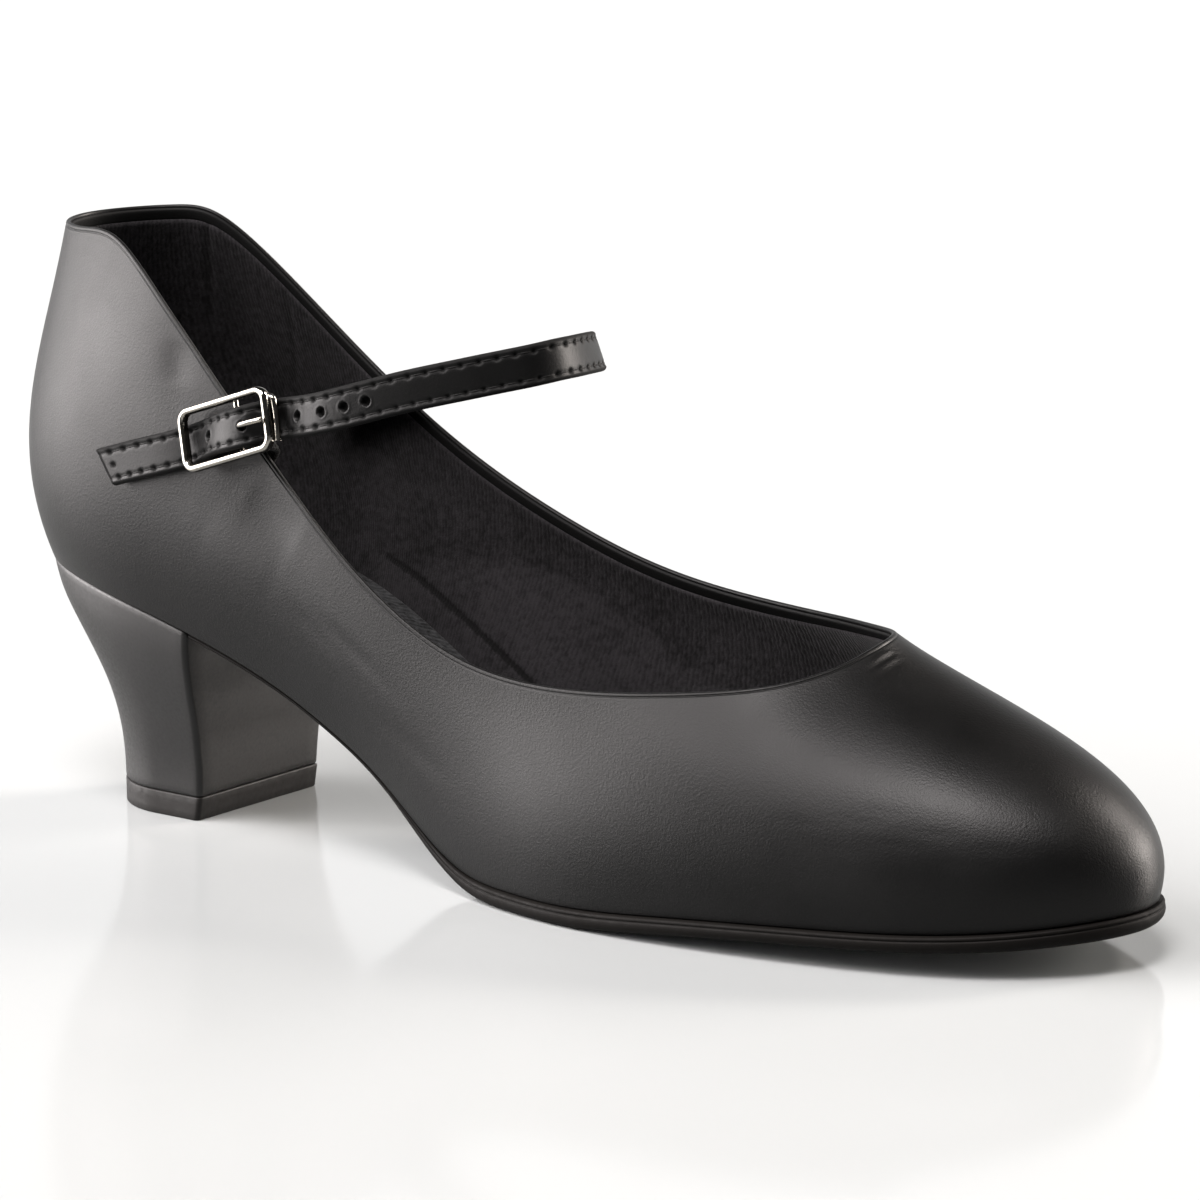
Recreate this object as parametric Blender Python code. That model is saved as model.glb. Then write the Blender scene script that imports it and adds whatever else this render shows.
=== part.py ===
"""Character shoe, right foot: a low round-toed court with one buckled instep strap.

Lengths in the tables are millimetres in the last's own frame: X runs forward from the
rearmost point of the heel bulge, -Y is the outer side of the foot, Z is up from the floor.
The whole shoe is then centred over the origin and written in metres.
"""
import math

import bpy
import numpy as np

MM = 0.001
GAP = 0.3            # clearance between pieces
WALL = 1.8           # upper: leather and lining together
UPPER_COLUMNS = 96
INSOLE_THICKNESS = 2.8
TOP_LIFT_THICKNESS = 4.5
HEEL_BREAST = 52.3   # front face of the heel block where it meets the sole
STRAP_WIDTH = 7.4
STRAP_THICKNESS = 1.6
STRAP_END_SKEW = 0.43
PRONG_HOLE_RADIUS = 1.2
FRAME_LENGTH = 22.2
FRAME_HEIGHT = 11.8
RAIL_WIDTH = 1.35
RAIL_DEPTH = 2.0
FRAME_CORNER = 2.6
BAR_RADIUS = 0.5
PRONG_RADIUS = 0.5
FRAME_CENTRE = (69.5, -33.0, 78.75)
FRAME_RISE = 18.6    # slope of the strap through the buckle, degrees
FRAME_LEAN = 11.0    # buckle's top leans in with the quarter, degrees

# The upper, one row for each rib round the last: the way the rib faces in plan (0 toe,
# 90 outer side, 180 back), its foot on the sole, its outward lean and pull there, its
# point on the topline, and its inward slope and pull there.
RIBS = np.array([
    # faces foot_x foot_y lean pull top_x top_y top_z slope pull
    (0, 239.5, 4.0, 17, 24, 187.2, 1.5, 48.9, 37, 17),
    (30, 235.0, -7.0, 16, 23, 186.2, -4.5, 47.4, 38, 16),
    (54, 221.0, -19.0, 14, 20, 183.6, -10.5, 45.7, 40, 15),
    (74, 196.0, -28.0, 12, 17, 177.0, -18.5, 43.8, 45, 14),
    (86, 168.0, -32.5, 13, 16, 163.0, -25.5, 42.1, 56, 12),
    (90, 140.0, -33.0, 14, 15, 142.0, -29.5, 40.6, 70, 12),
    (90, 114.0, -27.5, 18, 14, 118.0, -30.5, 43.7, 80, 14),
    (90, 90.0, -24.3, 22, 16, 96.0, -30.5, 56.0, 84, 16),
    (92, 66.0, -25.6, 22, 20, 72.0, -28.5, 76.5, 84, 20),
    (98, 48.0, -26.5, 22, 23, 46.0, -25.0, 99.8, 80, 22),
    (108, 34.0, -26.0, 22, 25, 32.0, -20.5, 108.0, 78, 24),
    (130, 17.5, -21.0, 22, 25, 19.0, -15.5, 108.2, 78, 24),
    (155, 6.6, -12.0, 21, 25, 9.0, -9.0, 107.8, 78, 24),
    (180, 3.0, 0.0, 20, 25, 5.0, 0.5, 107.8, 78, 24),
    (205, 6.6, 12.0, 21, 25, 8.0, 9.5, 108.0, 78, 24),
    (230, 17.5, 21.0, 22, 25, 14.0, 16.0, 108.2, 78, 24),
    (252, 34.0, 25.0, 22, 25, 22.0, 20.0, 106.4, 78, 24),
    (262, 48.0, 24.8, 22, 23, 34.0, 24.6, 96.0, 80, 22),
    (266, 58.0, 23.8, 22, 22, 48.0, 27.5, 83.5, 82, 20),
    (268, 70.0, 22.0, 22, 20, 66.0, 29.2, 70.2, 84, 18),
    (270, 92.0, 19.0, 26, 20, 94.0, 30.5, 56.2, 80, 16),
    (270, 116.0, 20.5, 26, 19, 118.0, 31.0, 48.8, 74, 15),
    (272, 142.0, 29.5, 18, 18, 143.0, 29.5, 46.2, 60, 13),
    (280, 170.0, 34.5, 15, 17, 163.0, 24.0, 46.8, 48, 14),
    (297, 198.0, 33.5, 14, 18, 176.0, 17.0, 48.1, 43, 14),
    (318, 222.0, 25.0, 15, 21, 182.9, 12.0, 49.0, 40, 14),
    (340, 235.5, 15.0, 17, 24, 186.2, 7.0, 49.4, 38, 16),
], float)

# Height of the upper's bottom edge along the foot: seat, shank, tread and toe spring.
SEAT_LINE = np.array([
    # x z
    (0, 47.0), (10, 46.0), (22, 44.7), (38, 42.1), (52, 38.6), (63, 35.0), (74, 30.3),
    (85, 24.5), (97, 17.3), (110, 8.4), (119, 4.6), (130, 3.6), (150, 3.9), (165, 5.0),
    (190, 6.5), (212, 7.5), (228, 8.8), (241, 10.4),
], float)

# The outsole: thickness under the upper and how far its edge stands out past it.
OUTSOLE = np.array([
    # x thickness welt
    (52, 1.3, -0.6), (75, 1.3, -0.5), (97, 1.5, -0.2), (110, 2.4, 0.3), (122, 3.2, 0.8),
    (130, 3.3, 1.0), (150, 3.3, 1.1), (165, 3.1, 1.2), (190, 2.9, 1.3), (212, 3.0, 1.3),
    (228, 3.2, 1.2), (241, 3.4, 1.0),
], float)
# Where the tread is flat on the floor.
TREAD_FLAT = (127.0, 149.0)
# The outsole's edge from bottom to top: part of the thickness, part of the way out.
SOLE_EDGE = ((0.0, -1.9), (0.14, -0.7), (0.4, -0.1), (0.66, 0.0), (0.76, -0.45),
             (0.84, -0.1), (1.0, -0.35))

# The heel block, from its foot to the seat: part of the height, back and front in X,
# half widths on the outer and inner sides, and how far its plan has turned from the
# D of the top lift to the outline of the seat.
HEEL = np.array([
    # part back front outer inner seat_shape
    (0.00, 18.7, 46.6, 17.2, 16.3, 0.00),
    (0.15, 18.7, 47.5, 18.1, 15.9, 0.05),
    (0.30, 18.1, 48.3, 19.5, 15.9, 0.15),
    (0.45, 16.4, 49.2, 21.1, 16.4, 0.30),
    (0.60, 13.4, 50.0, 22.9, 17.4, 0.45),
    (0.75, 9.2, 50.9, 24.6, 19.2, 0.65),
    (0.88, 5.5, 51.6, 25.7, 21.6, 0.85),
    (1.00, 3.4, HEEL_BREAST, 26.2, 23.9, 1.00),
], float)

# The strap's middle line from its cut end, through the buckle, over the instep and
# down inside the inner quarter, with the inward lean of its width.
STRAP = np.array([
    # x y z lean
    (39.4, -31.9, 68.4, 8), (48.0, -31.9, 71.0, 8), (56.5, -31.2, 73.5, 10),
    (60.5, -30.7, 74.9, 10), (65.5, -32.0, 77.0, 11), (71.9, -33.9, 79.2, 11),
    (76.0, -32.9, 80.5, 11), (80.0, -30.2, 81.4, 11), (87.0, -30.7, 82.9, 10),
    (96.0, -30.0, 85.4, 9), (105.0, -26.9, 88.2, 10), (114.0, -22.6, 90.6, 11),
    (121.1, -17.7, 92.4, 12), (124.7, -14.2, 93.3, 13), (126.4, -10.2, 93.8, 14),
    (126.2, -5.2, 93.7, 15), (124.8, -0.3, 93.3, 16), (122.7, 4.8, 92.7, 17),
    (120.2, 9.0, 92.0, 18), (115.8, 12.4, 90.8, 15), (106.0, 15.0, 88.1, 10),
    (92.0, 18.9, 84.3, 6), (77.0, 23.3, 80.2, 5),
    (66.0, 24.8, 77.3, 5), (57.0, 25.2, 74.9, 5), (50.0, 25.2, 73.0, 5),
    (44.0, 25.0, 71.3, 5),
], float)

# The anchor tab: middle line from inside the outer quarter to the buckle's bar, and
# the direction of its width.
ANCHOR_WIDTH = 8.6
ANCHOR_THICKNESS = 1.0
ANCHOR = np.array([
    # x y z wide_x wide_y wide_z
    (60.5, -26.6, 63.5, 0.69, 0.00, -0.73),
    (64.5, -26.0, 67.8, 0.69, 0.00, -0.73),
    (68.3, -25.5, 72.0, 0.68, 0.00, -0.74),
    (71.3, -25.3, 75.6, 0.66, -0.02, -0.76),
    (73.4, -26.4, 78.0, 0.58, -0.06, -0.82),
    (73.9, -28.2, 78.8, 0.48, -0.12, -0.87),
    (73.3, -29.5, 79.2, 0.38, -0.17, -0.91),
], float)

# The prong in the buckle's own plane: along the strap, and outward from mid-depth.
PRONG = np.array([
    # along out
    (1.6, -1.75), (2.5, -2.1), (3.45, -1.75), (4.0, -0.8), (4.4, 0.3), (4.8, 1.35),
    (5.6, 2.15), (7.0, 2.3), (9.0, 2.0), (10.9, 1.85),
], float)
BAR_ALONG = 2.5
BAR_OUT = -0.8
PRONG_BELOW = -0.45  # the strap rides this far below the buckle's middle


def unit(a):
    """Vectors scaled to length one."""
    a = np.asarray(a, float)
    return a / np.linalg.norm(a, axis=-1, keepdims=True)


def spline(xk, yk, x, period=None):
    """Cubic spline through the knots, natural at the ends or closed with a period."""
    xk = np.asarray(xk, float)
    yk = np.asarray(yk, float).reshape(len(xk), -1)
    x = np.asarray(x, float)
    n = len(xk)
    if period:
        xe = np.append(xk, xk[0] + period)
        ye = np.vstack([yk, yk[:1]])
        x = xe[0] + np.mod(x - xe[0], period)
    else:
        xe, ye = xk, yk
    h = np.diff(xe)
    slope = np.diff(ye, axis=0) / h[:, None]
    rows = n if period else n
    a = np.zeros((rows, rows))
    b = np.zeros((rows, ye.shape[1]))
    for i in range(rows):
        if period:
            a[i, i - 1] += h[i - 1]
            a[i, i] += 2 * (h[i - 1] + h[i])
            a[i, (i + 1) % n] += h[i]
            b[i] = 6 * (slope[i] - slope[i - 1])
        elif 0 < i < n - 1:
            a[i, i - 1] = h[i - 1]
            a[i, i] = 2 * (h[i - 1] + h[i])
            a[i, i + 1] = h[i]
            b[i] = 6 * (slope[i] - slope[i - 1])
        else:
            a[i, i] = 1
    m = np.linalg.solve(a, b)
    if period:
        m = np.vstack([m, m[:1]])
    k = np.clip(np.searchsorted(xe, x, side="right") - 1, 0, len(h) - 1)
    t = (x - xe[k])[:, None]
    r = (xe[k + 1] - x)[:, None]
    hk = h[k][:, None]
    return ((m[k] * r ** 3 + m[k + 1] * t ** 3) / (6 * hk)
            + (ye[k] / hk - m[k] * hk / 6) * r
            + (ye[k + 1] / hk - m[k + 1] * hk / 6) * t)


def seat_line(x):
    """Height of the upper's bottom edge at X."""
    x = np.asarray(x, float)
    flat = spline(SEAT_LINE[:, 0], SEAT_LINE[:, 1], np.ravel(x))[:, 0]
    return flat.reshape(x.shape)


def ribs_at(u):
    """Rib table rows at the fractions u of the way round the last."""
    foot = RIBS[:, 1:3]
    top = RIBS[:, 5:8]
    step = (np.linalg.norm(np.roll(foot, -1, 0) - foot, axis=1)
            + 0.5 * np.linalg.norm(np.roll(top, -1, 0) - top, axis=1))
    knots = np.concatenate([[0], np.cumsum(step)])
    around = knots[-1]
    knots = knots[:-1]
    table = RIBS.copy()
    table[:, 0] -= 360 * knots / around
    rows = spline(knots, table, np.asarray(u) * around, period=around)
    rows[:, 0] += 360 * np.asarray(u)
    return rows


def upper_surface(u, v):
    """Outer face of the upper: a Bezier rib at each u, from foot (v=0) to topline."""
    row = ribs_at(u)
    face, lean, slope = np.radians(row[:, [0, 3, 8]]).T
    out = np.stack([np.cos(face), -np.sin(face), np.zeros_like(face)], 1)
    up = np.array([0.0, 0.0, 1.0])
    foot = np.column_stack([row[:, 1:3], seat_line(row[:, 1])])
    top = row[:, 5:8]
    low = foot + row[:, 4:5] * (np.sin(lean)[:, None] * out + np.cos(lean)[:, None] * up)
    high = top + row[:, 9:10] * (np.cos(slope)[:, None] * out - np.sin(slope)[:, None] * up)
    v = np.asarray(v, float)[None, :, None]
    return (foot[:, None] * (1 - v) ** 3 + 3 * low[:, None] * v * (1 - v) ** 2
            + 3 * high[:, None] * v ** 2 * (1 - v) + top[:, None] * v ** 3)


def grid_normals(s):
    """Outward unit normals of a surface grid that is closed along its first axis."""
    along = np.roll(s, -1, 0) - np.roll(s, 1, 0)
    across = np.gradient(s, axis=1)
    return unit(np.cross(across, along))


def upper_faces(u, v):
    """The upper's outer and inner faces, a wall apart along the normals."""
    outer = upper_surface(u, v)
    inner = outer - WALL * grid_normals(outer)
    inner[:, 0, 2] = seat_line(inner[:, 0, 0])
    return outer, inner


def outline(inset, lift=0.0):
    """Foot of the upper's inner or outer face in plan, moved in by inset.

    With lift the line is taken that far up the inner wall.
    """
    u = np.linspace(0, 1, 720, endpoint=False)
    outer, inner = upper_faces(u, np.linspace(0, 1, 61))
    if lift:
        height = inner[:, :, 2] - inner[:, :1, 2]
        k = np.argmax(height > lift, axis=1)
        line = inner[np.arange(len(u)), k, :2]
    else:
        line = outer[:, 0, :2]
    ahead = unit(np.roll(line, -1, 0) - np.roll(line, 1, 0))
    return line + inset * np.stack([-ahead[:, 1], ahead[:, 0]], 1) * WINDING


def side_at(line, x, outer_side):
    """Y of a plan outline's outer or inner side at each X."""
    tip = int(np.argmax(line[:, 0]))
    heel = int(np.argmin(line[:, 0]))
    ring = np.roll(line, -tip, 0)
    back = (heel - tip) % len(line)
    run = ring[:back + 1] if outer_side else np.vstack([ring[back:], ring[:1]])
    run = run[np.argsort(run[:, 0], kind="stable")]
    return np.interp(x, run[:, 0], run[:, 1])


# Ribs run from the toe round by the outer side, clockwise seen from above.
WINDING = -1.0


def stations(count, round_back, round_front):
    """Fractions 0..1 that crowd together at the rounded ends."""
    t = np.linspace(0, 1, count)
    if round_back and round_front:
        return (1 - np.cos(math.pi * t)) / 2
    if round_front:
        return np.sin(math.pi / 2 * t)
    return 1 - np.cos(math.pi / 2 * t)


def make(name, points, faces, material, smooth_angle=40):
    """One closed mesh object, its faces turned outward."""
    points = np.asarray(points, float)
    volume = 0.0
    for face in faces:
        p = points[list(face)]
        for i in range(1, len(face) - 1):
            volume += np.dot(p[0], np.cross(p[i], p[i + 1]))
    if volume < 0:
        faces = [tuple(reversed(face)) for face in faces]
    mesh = bpy.data.meshes.new(name)
    mesh.from_pydata((points * MM).tolist(), [], [tuple(int(i) for i in f) for f in faces])
    mesh.update()
    mesh.shade_smooth()
    mesh.set_sharp_from_angle(angle=math.radians(smooth_angle))
    mesh.materials.append(material)
    body = bpy.data.objects.new(name, mesh)
    bpy.context.scene.collection.objects.link(body)
    return body


def loft(rings, ends=True, closed=False):
    """Points and faces of a skin over rings with the same number of points."""
    rings = np.asarray(rings, float)
    n, m = rings.shape[:2]
    faces = []
    for i in range(n if closed else n - 1):
        j = (i + 1) % n
        for k in range(m):
            q = (k + 1) % m
            faces.append((i * m + k, i * m + q, j * m + q, j * m + k))
    if ends and not closed:
        faces.append(tuple(range(m))[::-1])
        faces.append(tuple((n - 1) * m + k for k in range(m)))
    return rings.reshape(-1, 3), faces


def material(name, colour, roughness, metallic=0.0):
    """A Principled material of one colour."""
    m = bpy.data.materials.new(name)
    m.use_nodes = True
    shader = m.node_tree.nodes["Principled BSDF"]
    shader.inputs["Base Color"].default_value = (*colour, 1.0)
    shader.inputs["Roughness"].default_value = roughness
    shader.inputs["Metallic"].default_value = metallic
    m.diffuse_color = (*colour, 1.0)
    return m


def build_upper(leather):
    """Hollow shell with a rolled topline, open at the collar and underneath."""
    u = np.arange(UPPER_COLUMNS) / UPPER_COLUMNS
    v = np.array([0, 0.08, 0.18, 0.3, 0.42, 0.54, 0.66, 0.77, 0.86, 0.94, 1.0])
    fine = np.linspace(0, 1, 101)
    outer, inner = upper_faces(u, fine)
    keep = np.round(v * 100).astype(int)
    rise = unit(outer[:, -1] - outer[:, -2])
    rim = (outer[:, -1] + inner[:, -1]) / 2 + rise * WALL * 0.35
    ring = np.concatenate([outer[:, keep], rim[:, None], inner[:, keep[::-1]]], 1)
    points, faces = loft(ring, closed=True)
    return make("upper", points, faces, leather)


def build_insole(lining):
    """Sock and board in one: lies on the seat, its edge following the inner wall."""
    low = outline(WALL + 0.5)
    high = outline(0.7, lift=INSOLE_THICKNESS)
    t = stations(42, True, True)
    across = np.linspace(0, 1, 6)
    rings = []
    for f in t:
        ring = []
        for line, rise, order in ((low, 0.0, across), (high, INSOLE_THICKNESS, across[::-1])):
            start = line[:, 0].min() + 0.25
            end = line[:, 0].max() - 0.25
            x = start + (end - start) * f
            a = side_at(line, x, True)
            b = side_at(line, x, False)
            for s in order:
                ring.append((x, a + (b - a) * s, float(seat_line(np.array(x))) + rise))
        rings.append(ring)
    points, faces = loft(rings)
    return make("insole", points, faces, lining)


def sole_bottom(x):
    """Underside of the outsole: flat tread, spring toward the toe, rising shank."""
    thick = spline(OUTSOLE[:, 0], OUTSOLE[:, 1], np.array([x]))[0, 0]
    z = float(seat_line(np.array(x))) - GAP - thick
    if TREAD_FLAT[0] <= x <= TREAD_FLAT[1]:
        return 0.0
    return max(z, 0.0)


def build_outsole(resin):
    """Thin under the shank, full at the forefoot, with a lipped and rounded edge."""
    front = stations(46, False, True)
    rings = []
    base = {}
    for part, out in SOLE_EDGE:
        base[part, out] = None
    for f in front:
        x0 = HEEL_BREAST + GAP + (240.0 - HEEL_BREAST - GAP) * f
        thick, welt = spline(OUTSOLE[:, 0], OUTSOLE[:, 1:], np.array([x0]))[0]
        left = []
        right = []
        for part, out in SOLE_EDGE:
            reach = welt + out
            key = round(reach, 1)
            if key not in base:
                base[key] = outline(-key)
            line = base[key]
            x = HEEL_BREAST + GAP + (line[:, 0].max() - 0.15 - HEEL_BREAST - GAP) * f
            bottom = sole_bottom(x)
            top = float(seat_line(np.array(x))) - GAP
            z = bottom + (top - bottom) * part
            left.append((x, side_at(line, x, True), z))
            right.append((x, side_at(line, x, False), z))
        rings.append(left + right[::-1])
    points, faces = loft(rings)
    return make("outsole", points, faces, resin)


def plan_half(f, depth, half):
    """Half width of the D-shaped plan: a round back that runs into straight sides."""
    turn = min(half / depth, 1.0)
    g = np.clip(f / turn, 0, 1)
    return half * np.sqrt(1 - (1 - g) ** 2)


def paired_block(name, rings, count, stuff):
    """Skin over plan rings made of outer points then inner points, ends ruled across."""
    points, faces = loft(rings, ends=False)
    m = len(rings[0])
    top = (len(rings) - 1) * m
    for k in range(count - 1):
        a, b, c, d = k, k + 1, m - 2 - k, m - 1 - k
        faces.append((d, c, b, a) if b != c else (d, b, a))
        faces.append((top + a, top + b, top + c, top + d) if b != c
                     else (top + a, top + b, top + d))
    return make(name, points, faces, stuff)


def build_heel(block):
    """Heel block: a D at the floor that spreads into the seat, with a hollow back."""
    line = outline(0.15)
    f = stations(18, True, False)[::-1]
    x = line[:, 0].min() + 0.2 + (HEEL_BREAST - line[:, 0].min() - 0.2) * f
    seat_outer = -side_at(line, x, True)
    seat_inner = side_at(line, x, False)
    t = np.linspace(0, 1, 15)
    table = spline(HEEL[:, 0], HEEL[:, 1:], t)
    foot = TOP_LIFT_THICKNESS + GAP
    rings = []
    for part, (back, front, outer, inner, shape) in zip(t, table):
        depth = front - back
        xs = back + depth * f
        ys = -(plan_half(f, depth, outer) * (1 - shape)
               + seat_outer / seat_outer[0] * outer * shape)
        yi = (plan_half(f, depth, inner) * (1 - shape)
              + seat_inner / seat_inner[0] * inner * shape)
        top = seat_line(xs) - GAP
        z = foot + (top - foot) * part
        a = np.stack([xs, ys, z], 1)
        b = np.stack([xs, yi, z], 1)
        rings.append(np.vstack([a, b[::-1]]))
    return paired_block("heel", rings, len(f), block)


def build_top_lift(rubber):
    """Flat wearing layer under the heel block, its lower edge a little eased."""
    f = stations(18, True, False)[::-1]
    rings = []
    for z, ease in ((0.0, 0.3), (0.35, 0.0), (TOP_LIFT_THICKNESS, 0.0)):
        back = 18.6 + ease
        front = 45.8 - ease + 0.8 * z / TOP_LIFT_THICKNESS
        depth = front - back
        outer = 17.1 - ease
        xs = back + depth * f
        ys = plan_half(f, depth, outer)
        level = np.full_like(xs, z)
        rings.append(np.vstack([np.stack([xs, -ys, level], 1),
                                np.stack([xs, ys * 0.97, level], 1)[::-1]]))
    return paired_block("top_lift", rings, len(f), rubber)


def strap_frames(s_values, table, width_lean):
    """Places, directions, width and outward vectors at arc lengths along a strap."""
    chord = np.concatenate([[0], np.cumsum(np.linalg.norm(np.diff(table[:, :3], axis=0), axis=1))])
    fine = np.linspace(0, chord[-1], 1200)
    path = spline(chord, table[:, :3], fine)
    arc = np.concatenate([[0], np.cumsum(np.linalg.norm(np.diff(path, axis=0), axis=1))])
    s = np.asarray(s_values) * arc[-1] if np.max(s_values) <= 1 else np.asarray(s_values)
    at = np.interp(s, arc, fine)
    place = spline(chord, table[:, :3], at)
    ahead = unit(spline(chord, table[:, :3], at + 0.05) - spline(chord, table[:, :3], at - 0.05))
    lean = np.radians(np.interp(at, chord, width_lean))[:, None]
    up = unit(np.array([0.0, 0.0, 1.0]) - ahead[:, 2:3] * ahead)
    out = np.cross(ahead, up)
    return (place, ahead, np.cos(lean) * up - np.sin(lean) * out,
            np.sin(lean) * up + np.cos(lean) * out, arc[-1], np.interp(fine, fine, arc), path)


def build_strap(leather):
    """Flat strap with softened edges, a slanting cut end and the hole on the prong."""
    ends = strap_frames([0.0, 1.0], STRAP, STRAP[:, 3])
    length, arc, path = ends[4:]
    hole = axes_point(PRONG[4, 0] + 0.1, PRONG_BELOW, 0.3)
    at_hole = arc[np.argmin(np.linalg.norm(path - hole, axis=1))]
    half = STRAP_WIDTH / 2
    thick = STRAP_THICKNESS / 2
    corner = PRONG_HOLE_RADIUS * math.sqrt(0.5)
    s = np.linspace(0, length, 74)
    s = s[np.abs(s - at_hole) > 2.0]
    s = np.sort(np.append(s, [at_hole - corner, at_hole, at_hole + corner]))
    row = int(np.argmin(np.abs(s - at_hole)))
    place, ahead, wide, out = strap_frames(s, STRAP, STRAP[:, 3])[:4]
    cols = np.array([-half + 0.35, -2.3, -corner, 0, corner, 2.3, half - 0.35])
    rings = []
    for i in range(len(s)):
        w = cols.copy()
        push = np.zeros_like(w)
        if i == row:
            w[2], w[4] = -PRONG_HOLE_RADIUS, PRONG_HOLE_RADIUS
        if abs(i - row) == 1:
            push[3] = (i - row) * (PRONG_HOLE_RADIUS - corner)
        fade = max(0.0, 1 - s[i] / 9.0)
        shift = push - STRAP_END_SKEW * w * fade
        edge = STRAP_END_SKEW * half * fade
        face = place[i] + np.outer(w, wide[i]) + np.outer(shift, ahead[i])
        low = place[i] - half * wide[i] + edge * ahead[i]
        high = place[i] + half * wide[i] - edge * ahead[i]
        rings.append(np.vstack([face + thick * out[i], high, (face - thick * out[i])[::-1], low]))
    points, faces = loft(rings)
    m = 16
    holes = set()
    for i in (row - 1, row):
        for k in (2, 3):
            holes.add((i, k))
            holes.add((i, 13 - k))
    faces = [f for n, f in enumerate(faces) if n >= (len(s) - 1) * m or divmod(n, m) not in holes]
    ring = [(row - 1, 2), (row - 1, 3), (row - 1, 4), (row, 4), (row + 1, 4), (row + 1, 3),
            (row + 1, 2), (row, 2)]
    for (i, k), (j, q) in zip(ring, ring[1:] + ring[:1]):
        faces.append((i * m + k, j * m + q, j * m + 14 - q, i * m + 14 - k))
    return make("strap", points, faces, leather)


def build_anchor(elastic):
    """Short tab from inside the outer quarter up to the buckle's middle bar."""
    chord = np.concatenate([[0], np.cumsum(np.linalg.norm(np.diff(ANCHOR[:, :3], axis=0), axis=1))])
    at = np.linspace(0, chord[-1], 12)
    both = spline(chord, ANCHOR, at)
    place = both[:, :3]
    ahead = unit(spline(chord, ANCHOR[:, :3], at + 0.05) - spline(chord, ANCHOR[:, :3], at - 0.05))
    wide = both[:, 3:] - np.sum(both[:, 3:] * ahead, 1)[:, None] * ahead
    wide = unit(wide)
    out = np.cross(ahead, wide)
    w = ANCHOR_WIDTH / 2
    d = ANCHOR_THICKNESS / 2
    rings = []
    for p, a, n in zip(place, wide, out):
        rings.append([p - w * a, p - (w - 0.3) * a + d * n, p + (w - 0.3) * a + d * n, p + w * a,
                      p + (w - 0.3) * a - d * n, p - (w - 0.3) * a - d * n])
    points, faces = loft(rings)
    return make("buckle_anchor", points, faces, elastic)


def buckle_axes():
    """Directions along the strap, across it and outward at the buckle."""
    rise = math.radians(FRAME_RISE)
    lean = math.radians(FRAME_LEAN)
    along = np.array([math.cos(rise), 0.0, math.sin(rise)])
    up = np.array([-math.sin(rise), 0.0, math.cos(rise)])
    out = np.cross(along, up)
    return along, math.cos(lean) * up - math.sin(lean) * out, math.sin(lean) * up + math.cos(lean) * out


def axes_point(along, across, out):
    """A place given in the buckle's own directions."""
    a, w, n = buckle_axes()
    return np.array(FRAME_CENTRE) + along * a + across * w + out * n


def build_buckle(metal):
    """Rounded oblong frame with a middle bar set low across it."""
    a, w, n = buckle_axes()
    half_l = FRAME_LENGTH / 2 - RAIL_WIDTH / 2
    half_h = FRAME_HEIGHT / 2 - RAIL_WIDTH / 2
    path = []
    for cx, cy, start in ((1, 1, 0), (-1, 1, 90), (-1, -1, 180), (1, -1, 270)):
        for deg in np.linspace(start, start + 90, 6):
            r = FRAME_CORNER - RAIL_WIDTH / 2
            path.append((cx * (half_l - r) + r * math.cos(math.radians(deg)),
                         cy * (half_h - r) + r * math.sin(math.radians(deg)), deg))
    section = []
    for deg in np.arange(8) * 45 + 22.5:
        c, s = math.cos(math.radians(deg)), math.sin(math.radians(deg))
        section.append((RAIL_WIDTH / 2 * np.sign(c) * abs(c) ** 0.7,
                        RAIL_DEPTH / 2 * np.sign(s) * abs(s) ** 0.7))
    rings = []
    for x, y, deg in path:
        side = math.cos(math.radians(deg)) * a + math.sin(math.radians(deg)) * w
        rings.append([np.array(FRAME_CENTRE) + x * a + y * w + p * side + q * n
                      for p, q in section])
    points, faces = loft(rings, closed=True)
    frame = make("buckle_frame", points, faces, metal, 50)
    bar = []
    for across in (-half_h - 0.2, half_h + 0.2):
        bar.append([axes_point(BAR_ALONG + BAR_RADIUS * math.cos(t), across,
                               BAR_OUT + BAR_RADIUS * math.sin(t))
                    for t in np.arange(10) * math.pi / 5])
    points, faces = loft(bar)
    rod = make("buckle_bar_cutter", points, faces, metal)
    rod.hide_render = True
    rod.display_type = "WIRE"
    join = frame.modifiers.new("middle bar", "BOOLEAN")
    join.operation = "UNION"
    join.solver = "EXACT"
    join.object = rod
    return frame


def build_prong(metal):
    """Bent wire hooked under the bar, up through the strap and onto the end rail."""
    along, out = PRONG.T
    chord = np.concatenate([[0], np.cumsum(np.hypot(np.diff(along), np.diff(out)))])
    at = np.linspace(0, chord[-1], 24)
    line = spline(chord, PRONG, at)
    a, w, n = buckle_axes()
    path = np.array([axes_point(p, PRONG_BELOW, q) for p, q in line])
    ahead = unit(np.gradient(path, axis=0))
    side = np.cross(ahead, w)
    rings = []
    for i, p in enumerate(path):
        r = PRONG_RADIUS * (0.7 if i in (0, len(path) - 1) else 1.0)
        rings.append([p + r * (math.cos(t) * w + math.sin(t) * side[i])
                      for t in np.arange(8) * math.pi / 4])
    points, faces = loft(rings)
    return make("buckle_prong", points, faces, metal)


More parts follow.
